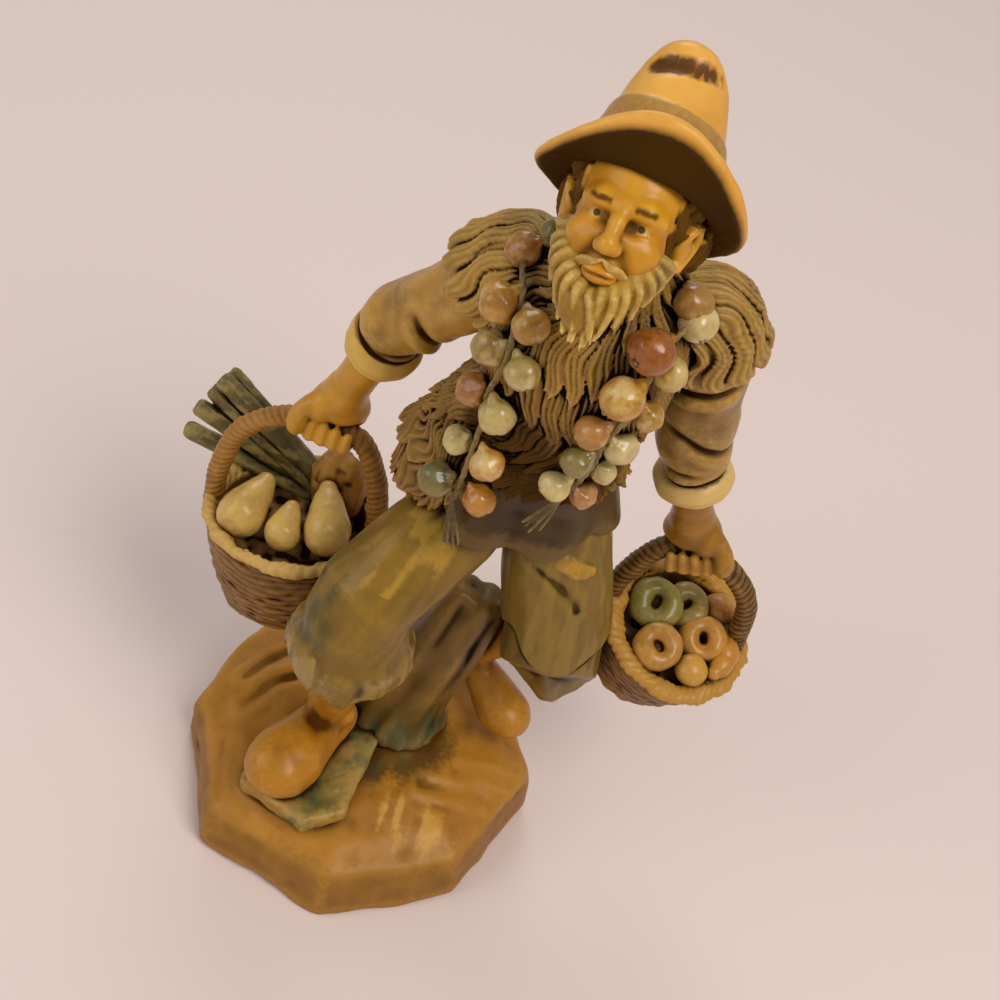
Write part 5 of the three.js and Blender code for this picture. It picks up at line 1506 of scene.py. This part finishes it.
# Bulbs: sides of the cord at each knot, sizes, then tone, accent and share of the accent
R_KNOTS = ["r", "l", "lr", "lr", "lr", "lr", "lr"]
L_KNOTS = ["", "lr", "lr", "lr", "lr", "lr", "lr"]
R_SIZES = [0.8, 1, 1.16, 1, 1, 1, 1, 1.05, 0.88, 1, 1.12, 1]
L_SIZES = [1.04, 1.04, 1.26, 0.95, 1.2, 0.86, 0.95, 0.95, 0.95, 0.74, 0.95, 0.82]
CREAM = (214, 194, 154)
TEAL = (52, 84, 76)
R_TONES = [((108, 92, 48), CREAM, 0.1), ((168, 106, 48), CREAM, 0.25), ((188, 134, 36), CREAM, 0.25),
           ((180, 132, 46), CREAM, 0.4), ((148, 122, 66), CREAM, 0.4), ((172, 150, 98), CREAM, 0.6),
           ((162, 96, 46), CREAM, 0.2), ((178, 158, 104), CREAM, 0.6), ((188, 172, 122), CREAM, 0.6),
           ((188, 130, 38), CREAM, 0.5), ((112, 98, 48), TEAL, 0.75), ((184, 118, 36), CREAM, 0.25)]
L_TONES = [((160, 112, 50), CREAM, 0.2), ((200, 182, 136), CREAM, 0.6), ((142, 66, 10), (172, 98, 26), 0.4),
           ((184, 146, 58), CREAM, 0.5), ((188, 136, 40), CREAM, 0.5), ((168, 122, 50), CREAM, 0.3),
           ((174, 118, 58), CREAM, 0.3), ((186, 168, 126), CREAM, 0.6), ((120, 108, 64), TEAL, 0.7),
           ((194, 178, 136), CREAM, 0.5), ((198, 182, 140), CREAM, 0.5), ((178, 122, 82), CREAM, 0.3)]
ONION_LIGHT = (236, 206, 146)
ROOT_BROWN = (52, 30, 8)


def on_route(line, t, sideways, lift):
    angle, share = line[int(round(t * (len(line) - 1)))][:2]
    return on_torso(angle + sideways / WAIST_DEPTH, share, lift)


def sculpt_string(name, route, knots, sizes, tones, stagger, seed):
    dice = np.random.default_rng(seed)
    path = smooth_run([at(math.radians(a), share, 0) for a, share in route], 701)
    line = np.array([on_route(path, t, 0, CORD_STAND) for t in np.linspace(0, 1, 70)])
    clay = clear_clay(name + "_string_cord", 0.24, 9.0)
    for ply in range(CORD_PLIES):
        phase = ply / CORD_PLIES * TURN
        turns = [k * PLY_TURN + phase for k in range(len(line))]
        twist = [p + at(PLY_SWING * math.cos(a), 0, PLY_SWING * math.sin(a)) for a, p in zip(turns, line)]
        clay.tube(twist, PLY_RADIUS, 0.06)
    tail = line[-1]
    down = unit(line[-1] - line[-6])
    for k in range(16):
        fan = at(dice.normal(0, 0.9), -abs(dice.normal(0.3, 0.3)), dice.normal(0, 0.4))
        ends = [tail - down * 3, tail + down * 2.5 + fan * 0.6, tail + down * dice.uniform(5.5, 7.5) + fan]
        clay.tube(smooth_run(ends, 6), np.linspace(0.5, 0.28, 6), 0.1)

    def dark_end(p):
        return 1 - ramp(np.linalg.norm(p - tail, axis=1), 7, 13)

    shade = painted(name + "_cord_paint", (126, 100, 54), (88, 62, 28), (190, 168, 118), (30, 18, 4),
                    masks=[("dark_end", (62, 38, 12), 0.9)], gloss=0.5, light_share=0.5)
    piece(clay, name + "_string_cord", shade, {"dark_end": dark_end}, fine_size=0.4)
    count = 0
    for knot, sides in enumerate(knots):
        for order, side in enumerate(sides):
            radius = BULB_RADIUS * sizes[count]
            t = (knot + (stagger if order else -stagger)) / len(knots)
            middle = on_route(path, t, (1 if side == "r" else -1) * BULB_RADIUS * 0.98, radius * 0.85)
            stalk = on_route(path, max(0, t - 0.06), 0, CORD_STAND)
            colours = tones[count]
            count += 1
            sculpt_bulb(f"{name}_string_bulb_{count}", middle, stalk, radius, *colours, seed * 20 + count)


def sculpt_bulb(node, middle, stalk, radius, tone, accent, share, seed):
    dice = np.random.default_rng(seed)
    place = place_along(middle, stalk - middle, at(0, 1, 0))
    clay = Clay(middle - radius * 1.6, middle + radius * 1.6, 0.2)
    flat = dice.uniform(0.92, 1.02)
    clay.egg(place, (0, 0, 0), (radius, radius * dice.uniform(0.95, 1), radius * flat), 0.1)
    root_end = place.out(0, 0, -radius * flat)
    neck = [place.out(0, 0, radius * 0.55), place.out(0, 0, radius),
            place.out(0.1 * radius, 0, radius * 1.2)]
    clay.tube(neck, [radius * 0.42, radius * 0.2, radius * 0.12], 0.8)
    clay.ball(place.out(0, 0, -radius * (flat + 0.06)), radius * 0.2, 0.4, True)
    clay.ball(place.out(0, 0, -radius * (flat - 0.04)), radius * 0.12, 0.1)

    def skin(p):
        _, _, angle = place.polar(p)
        return 0.07 * np.cos(5 * angle + seed + noise(p, 3, seed)) + 0.22 * noise(p, 2.4, seed + 1)

    clay.push(skin)
    warmer = toned(tone, at(0.84, 0.76, 0.62))
    # Heavy wash where a bulb is hemmed in by the clothes and other bulbs is painted shade, leaving the tops
    # paler
    shade = painted(node + "_paint", tone, warmer, halfway(tone, ONION_LIGHT), (54, 30, 8),
                    masks=[("accent", accent, 0.85), ("root", ROOT_BROWN, 0.8)],
                    gloss=0.22, coat=0.42, shine=0.34, cloud=3.0,
                    wash_share=0.8, hollow_share=0.9, crowd_share=0.95, light_share=0.35)

    def patches(p):
        return share * (0.7 + 1.3 * noise(p, 2.6, seed + 2))

    def root(p):
        return 1 - ramp(np.linalg.norm(p - root_end, axis=1), radius * 0.14, radius * 0.3)

    piece(clay, node, shade, {"accent": patches, "root": root}, fine_size=0.9)


# Produce
PRODUCE_LIGHT = (238, 206, 146)
PRODUCE_DARK = (64, 36, 8)
HEAP_HEIGHT = 1.7
AUBERGINE_RADIUS = 4.6
# Aubergines: place in the basket, size, slimness, direction
AUBERGINES = [
    (-8.6, -6.5, 1.08, 0.94, at(0.3, 0.8, 0.42)),
    (0, -8.5, 0.74, 1.0, at(0.05, 0.8, 0.5)),
    (8, -5.5, 1.16, 0.86, at(-0.25, 0.8, 0.45)),
]
LEEK_LENGTH = 27
LEEK_RADIUS = 2.1
LEEK_LEAVES = 4
LEEK_AIMS = [at(-0.95, 0.16, 0.1), at(-0.93, 0.1, 0.34), at(-0.9, 0.22, 0.44), at(-0.86, 0.14, 0.58),
             at(-0.86, 0.32, 0.5)]
RING_RADIUS = 2.9
RING_THICKNESS = 2.1
RING_AXIS = at(0, -0.55, 0.83)
# Rings and buns: node, place in the basket, size, colour
RINGS = [
    ("bread_ring_1", -4, -6.4, 1.0, (178, 122, 46)),
    ("bread_ring_2", 5, -1, 1.0, (180, 120, 44)),
    ("herb_ring_1", -6.4, 2.4, 1.1, (124, 114, 56)),
    ("herb_ring_2", 0, 4.6, 0.95, (130, 110, 52)),
]
BUN_RADIUS = 4
BUNS = [("bun_1", 4.4, -8, 0.85, (196, 142, 56)), ("bun_2", 7.6, 6.4, 1.0, (176, 108, 40))]


def produce_paint(name, tone, dark=PRODUCE_DARK, gloss=0.34, coat=0.25, masks=(), cloud=4.0):
    return painted(name + "_paint", tone, toned(tone, 0.86), halfway(tone, PRODUCE_LIGHT), dark, masks=masks,
                   gloss=gloss, coat=coat, cloud=cloud, crowd_share=0.85, light_share=0.4)


def sculpt_aubergines():
    for k, (x, y, size, slim, aim) in enumerate(AUBERGINES):
        r = AUBERGINE_RADIUS * size
        middle = R_BASKET.out(x, y, HEAP_HEIGHT + r * 0.55)
        place = place_along(middle, aim, at(1, 0, 0))
        clay = Clay(middle - r * 2.1 - 1, middle + r * 2.1 + 1, 0.28)
        fat = r * slim
        clay.egg(place, (0, 0, -r * 0.15), (fat, fat, r), 0.4)
        body = [place.out(0, 0, 0), place.out(0, 0, 0.75 * r), place.out(0, 0, 1.45 * r)]
        clay.tube(body, [fat * 0.9, fat * 0.66, fat * 0.4], 1.8)
        clay.push(lambda p, k=k: 0.3 * noise(p, 4, 120 + k) + 0.08 * noise(p, 1.4, 124 + k))
        node = f"aubergine_{k + 1}"
        shade = produce_paint(node, (208, 170, 100), masks=[("tip", (150, 104, 44), 0.8)],
                              gloss=0.28, cloud=5.0)

        def tip(p, place=place, r=r, k=k):
            q = place.inside(p)
            blotch = noise(p, 3, 5 + k)
            return 1 - ramp(q[:, 2] + 1.2 * blotch, -r * 1.2, -r * 0.6) + 0.4 * ramp(q[:, 2], r, 1.6 * r)

        piece(clay, node, shade, {"tip": tip}, fine_size=1.2)


def sculpt_loaf():
    clay = clear_clay("loaf", 0.28, 1.0)
    clay.egg(R_BASKET, (7, 6.5, 5), (6, 4.4, 9), 0.2)
    clay.push(lambda p: 0.6 * noise(p, 3.2, 130) + 0.3 * noise(p, 1.3, 131))
    shade = produce_paint("loaf", (160, 104, 40), masks=[("crust", (190, 138, 66), 0.7)],
                          gloss=0.5, coat=0.1)
    piece(clay, "loaf", shade, {"crust": lambda p: 0.4 + noise(p, 3, 132)}, fine_size=0.7)


def sculpt_leeks():
    clay = clear_clay("leeks", 0.26, 2.0)
    for k, aim in enumerate(LEEK_AIMS):
        root = R_BASKET.out(1 + k * 0.6, 7 + 1.1 * (k % 2), 1.5 + k * 0.9)
        tip = along(root, aim, LEEK_LENGTH)
        clay.tube([root, tip], [LEEK_RADIUS, LEEK_RADIUS - 0.15], 0.25)
        place = place_along(root, aim, at(0, 1, 0))
        for j in range(LEEK_LEAVES):
            a = j / LEEK_LEAVES * TURN + k
            b = a + 0.25
            leaf = [place.out(1.75 * math.cos(a), 1.75 * math.sin(a), 2),
                    place.out(1.7 * math.cos(b), 1.7 * math.sin(b), LEEK_LENGTH - 1)]
            clay.tube(leaf, [0.4, 0.45], 0.25)
        bore = [along(root, aim, LEEK_LENGTH - 2.5), along(root, aim, LEEK_LENGTH + 2)]
        clay.tube(bore, [0.5, 1.15], 0.3, True)
    clay.push(lambda p: 0.1 * noise(p, 1.5, 140))
    shade = produce_paint("leeks", (90, 78, 40), (28, 24, 8), gloss=0.42, coat=0.2,
                          masks=[("pale", (158, 138, 84), 0.8)])
    piece(clay, "leeks", shade, {
        "pale": lambda p: 0.25 + 0.9 * noise(p * at(0.3, 1, 1), 1.6, 141)}, fine_size=0.6)


def sculpt_breads():
    turns = np.linspace(0, TURN, 33)
    for k, (node, x, y, size, tone) in enumerate(RINGS):
        middle = L_BASKET.out(x, y, HEAP_HEIGHT + RING_THICKNESS * 0.4)
        place = place_along(middle, RING_AXIS, at(1, 0, 0))
        clay = Clay(middle - 8, middle + 8, 0.24)
        radius = RING_RADIUS * size
        circle = [place.out(radius * math.cos(a), radius * math.sin(a), 0) for a in turns]
        fat = [RING_THICKNESS * size * (1 + 0.08 * math.sin(2 * a + k)) for a in turns]
        clay.tube(circle, fat, 0.1)
        clay.push(lambda p, k=k: 0.2 * noise(p, 3, 150 + k) + 0.07 * noise(p, 1.2, 155 + k))
        shade = produce_paint(node, tone, masks=[("pale", toned(tone, 1.12), 0.6)], gloss=0.32)
        piece(clay, node, shade, {
            "pale": lambda p, k=k: 0.35 + 0.8 * noise(p, 2.6, 160 + k)}, fine_size=0.8)
    for k, (node, x, y, size, tone) in enumerate(BUNS):
        middle = L_BASKET.out(x, y, HEAP_HEIGHT)
        clay = Clay(middle - 7, middle + 7, 0.24)
        clay.egg(L_BASKET, (x, y, HEAP_HEIGHT), at(1, 1, 0.85) * BUN_RADIUS * size, 0.1)
        clay.push(lambda p, k=k: 0.2 * noise(p, 3, 170 + k))
        piece(clay, node, produce_paint(node, tone), fine_size=0.8)
    ts = np.linspace(-1, 1, 25)
    twist = [L_BASKET.out(10.6 - 1.6 * t * t, -2 + 5 * t, 2.3) for t in ts]
    clay = Clay(np.min(twist, 0) - 4, np.max(twist, 0) + 4, 0.24)
    clay.tube(twist, [(2.7 - 1.2 * t * t) * (0.9 + 0.16 * abs(math.cos(5.5 * t))) for t in ts], 0.15)
    clay.push(lambda p: 0.12 * noise(p, 2, 180))
    piece(clay, "bread_twist", produce_paint("bread_twist", (196, 132, 52)), fine_size=0.7)


# Every piece of the figure
sculpt_base()
sculpt_stone()
sculpt_stump()
sculpt_foot("right_foot", R_ANKLE, aim=at(-8.5, -20, 0), length=27, bulk=1.0, heel_lift=0, seed=22)
sculpt_foot("left_foot", L_ANKLE, aim=at(12, -8, 0), length=21.6, bulk=0.74, heel_lift=9, seed=23)
sculpt_handle("right_basket_handle", R_BASKET, R_BASKET_RADIUS, R_GRIP, tone=(162, 110, 48))
sculpt_handle("left_basket_handle", L_BASKET, L_BASKET_RADIUS, L_GRIP, tone=(84, 53, 26))
sculpt_basket("right_basket", R_BASKET, R_BASKET_RADIUS, R_BASKET_DEPTH, base=(134, 92, 46),
              second=(108, 72, 34), rim_tone=(222, 184, 116), lip=1.05, seed=200)
sculpt_basket("left_basket", L_BASKET, L_BASKET_RADIUS, L_BASKET_DEPTH, base=(138, 98, 60),
              second=(114, 78, 46), rim_tone=(190, 138, 54), lip=1.4, seed=210)
# The left hand's darker skin tone is painted shade, and the right hand's lighter one is painted light
sculpt_hand("right_hand", R_ELBOW, R_WRIST, R_GRIP, outer=-1, tone=(212, 152, 46))
sculpt_hand("left_hand", L_ELBOW, L_WRIST, L_GRIP, outer=1, tone=(156, 106, 32))
sculpt_sleeve("right_sleeve", R_SHOULDER, R_ELBOW, R_WRIST, cuff_share=0.42, tone=(176, 130, 55),
              cuff_tone=(222, 180, 100), creases=R_SLEEVE_FOLDS, seed=220)
sculpt_sleeve("left_sleeve", L_SHOULDER, L_ELBOW, L_WRIST, cuff_share=0.58, tone=(140, 102, 46),
              cuff_tone=(220, 190, 140), creases=L_SLEEVE_FOLDS, seed=230)
sculpt_right_leg()
sculpt_left_leg()
sculpt_tunic()
sculpt_vest()
sculpt_cap("right_shoulder_cap", R_SHOULDER, R_ELBOW, inward=1, reach=0.14, tone=(180, 138, 66), seed=240)
sculpt_cap("left_shoulder_cap", L_SHOULDER, L_ELBOW, inward=-1, reach=0.09, tone=(160, 122, 60), seed=250)
sculpt_head()
sculpt_beard()
sculpt_hat()
sculpt_string("right", R_ROUTE, R_KNOTS, R_SIZES, R_TONES, stagger=0, seed=15)
sculpt_string("left", L_ROUTE, L_KNOTS, L_SIZES, L_TONES, stagger=0.27, seed=16)
sculpt_aubergines()
sculpt_loaf()
sculpt_leeks()
sculpt_breads()
wash_and_shade_pieces()


# Floor, light and camera
FLOOR_HALF = 2.5
FLOOR_DROP = 0.1
FLOOR_COLOUR = (232, 213, 206)
FLOOR_ROUGHNESS = 0.7
LAMPS_AIM = Vector((0.01, 0, 0.09))
# Lamps: name, place, power, size, colour
LAMPS = [
    ("key", (0.55, -0.5, 1.0), 7.4, 0.62, (1.0, 0.96, 0.9)),
    ("fill", (-0.9, -0.5, 0.7), 3.8, 0.9, (0.95, 0.97, 1.0)),
    ("rim", (-0.2, 0.9, 0.9), 2.6, 0.6, (1.0, 0.97, 0.94)),
]
WORLD_COLOUR = (0.9, 0.88, 0.86, 1)
WORLD_STRENGTH = 0.4
CAMERA_ROLL = math.radians(16)
CAMERA_ELEVATION = math.radians(43)
CAMERA_PLACE = Vector((13.0, -215.7, 291.9))
CAMERA_LENS = 57.6
CAMERA_SENSOR = 36


def make_stage():
    mesh = bpy.data.meshes.new("floor")
    corners = [(x * FLOOR_HALF, y * FLOOR_HALF, 0) for x, y in ((-1, -1), (1, -1), (1, 1), (-1, 1))]
    mesh.from_pydata(corners, [], [(0, 1, 2, 3)])
    floor = bpy.data.objects.new("floor", mesh)
    floor.location.z = -FLOOR_DROP * MM
    bpy.context.scene.collection.objects.link(floor)
    material = bpy.data.materials.new("floor_paint")
    material.use_nodes = True
    shader = material.node_tree.nodes["Principled BSDF"]
    shader.inputs["Base Color"].default_value = linear(FLOOR_COLOUR)
    shader.inputs["Roughness"].default_value = FLOOR_ROUGHNESS
    mesh.materials.append(material)


def make_lamp(name, place, power, size, colour):
    data = bpy.data.lights.new(name, "AREA")
    data.shape = "DISK"
    data.size = size
    data.energy = power
    data.color = colour
    lamp = bpy.data.objects.new(name, data)
    lamp.location = place
    lamp.rotation_euler = (LAMPS_AIM - Vector(place)).to_track_quat("-Z", "Y").to_euler()
    bpy.context.scene.collection.objects.link(lamp)


def make_light():
    for lamp in LAMPS:
        make_lamp(*lamp)
    world = bpy.data.worlds.new("studio")
    world.use_nodes = True
    background = world.node_tree.nodes["Background"]
    background.inputs["Color"].default_value = WORLD_COLOUR
    background.inputs["Strength"].default_value = WORLD_STRENGTH
    bpy.context.scene.world = world


def make_camera():
    right = Vector((1, 0, 0))
    up = Vector((0, math.sin(CAMERA_ELEVATION), math.cos(CAMERA_ELEVATION)))
    back = Vector((0, -math.cos(CAMERA_ELEVATION), math.sin(CAMERA_ELEVATION)))
    x = right * math.cos(CAMERA_ROLL) + up * math.sin(CAMERA_ROLL)
    y = up * math.cos(CAMERA_ROLL) - right * math.sin(CAMERA_ROLL)
    data = bpy.data.cameras.new("camera")
    data.lens = CAMERA_LENS
    data.sensor_width = CAMERA_SENSOR
    data.clip_start = 0.01
    camera = bpy.data.objects.new("camera", data)
    turned = Matrix((x, y, back)).transposed().to_4x4()
    turned.translation = CAMERA_PLACE * MM
    camera.matrix_world = turned
    bpy.context.scene.collection.objects.link(camera)
    bpy.context.scene.camera = camera


make_stage()
make_light()
make_camera()
bpy.context.scene.view_settings.view_transform = "Standard"
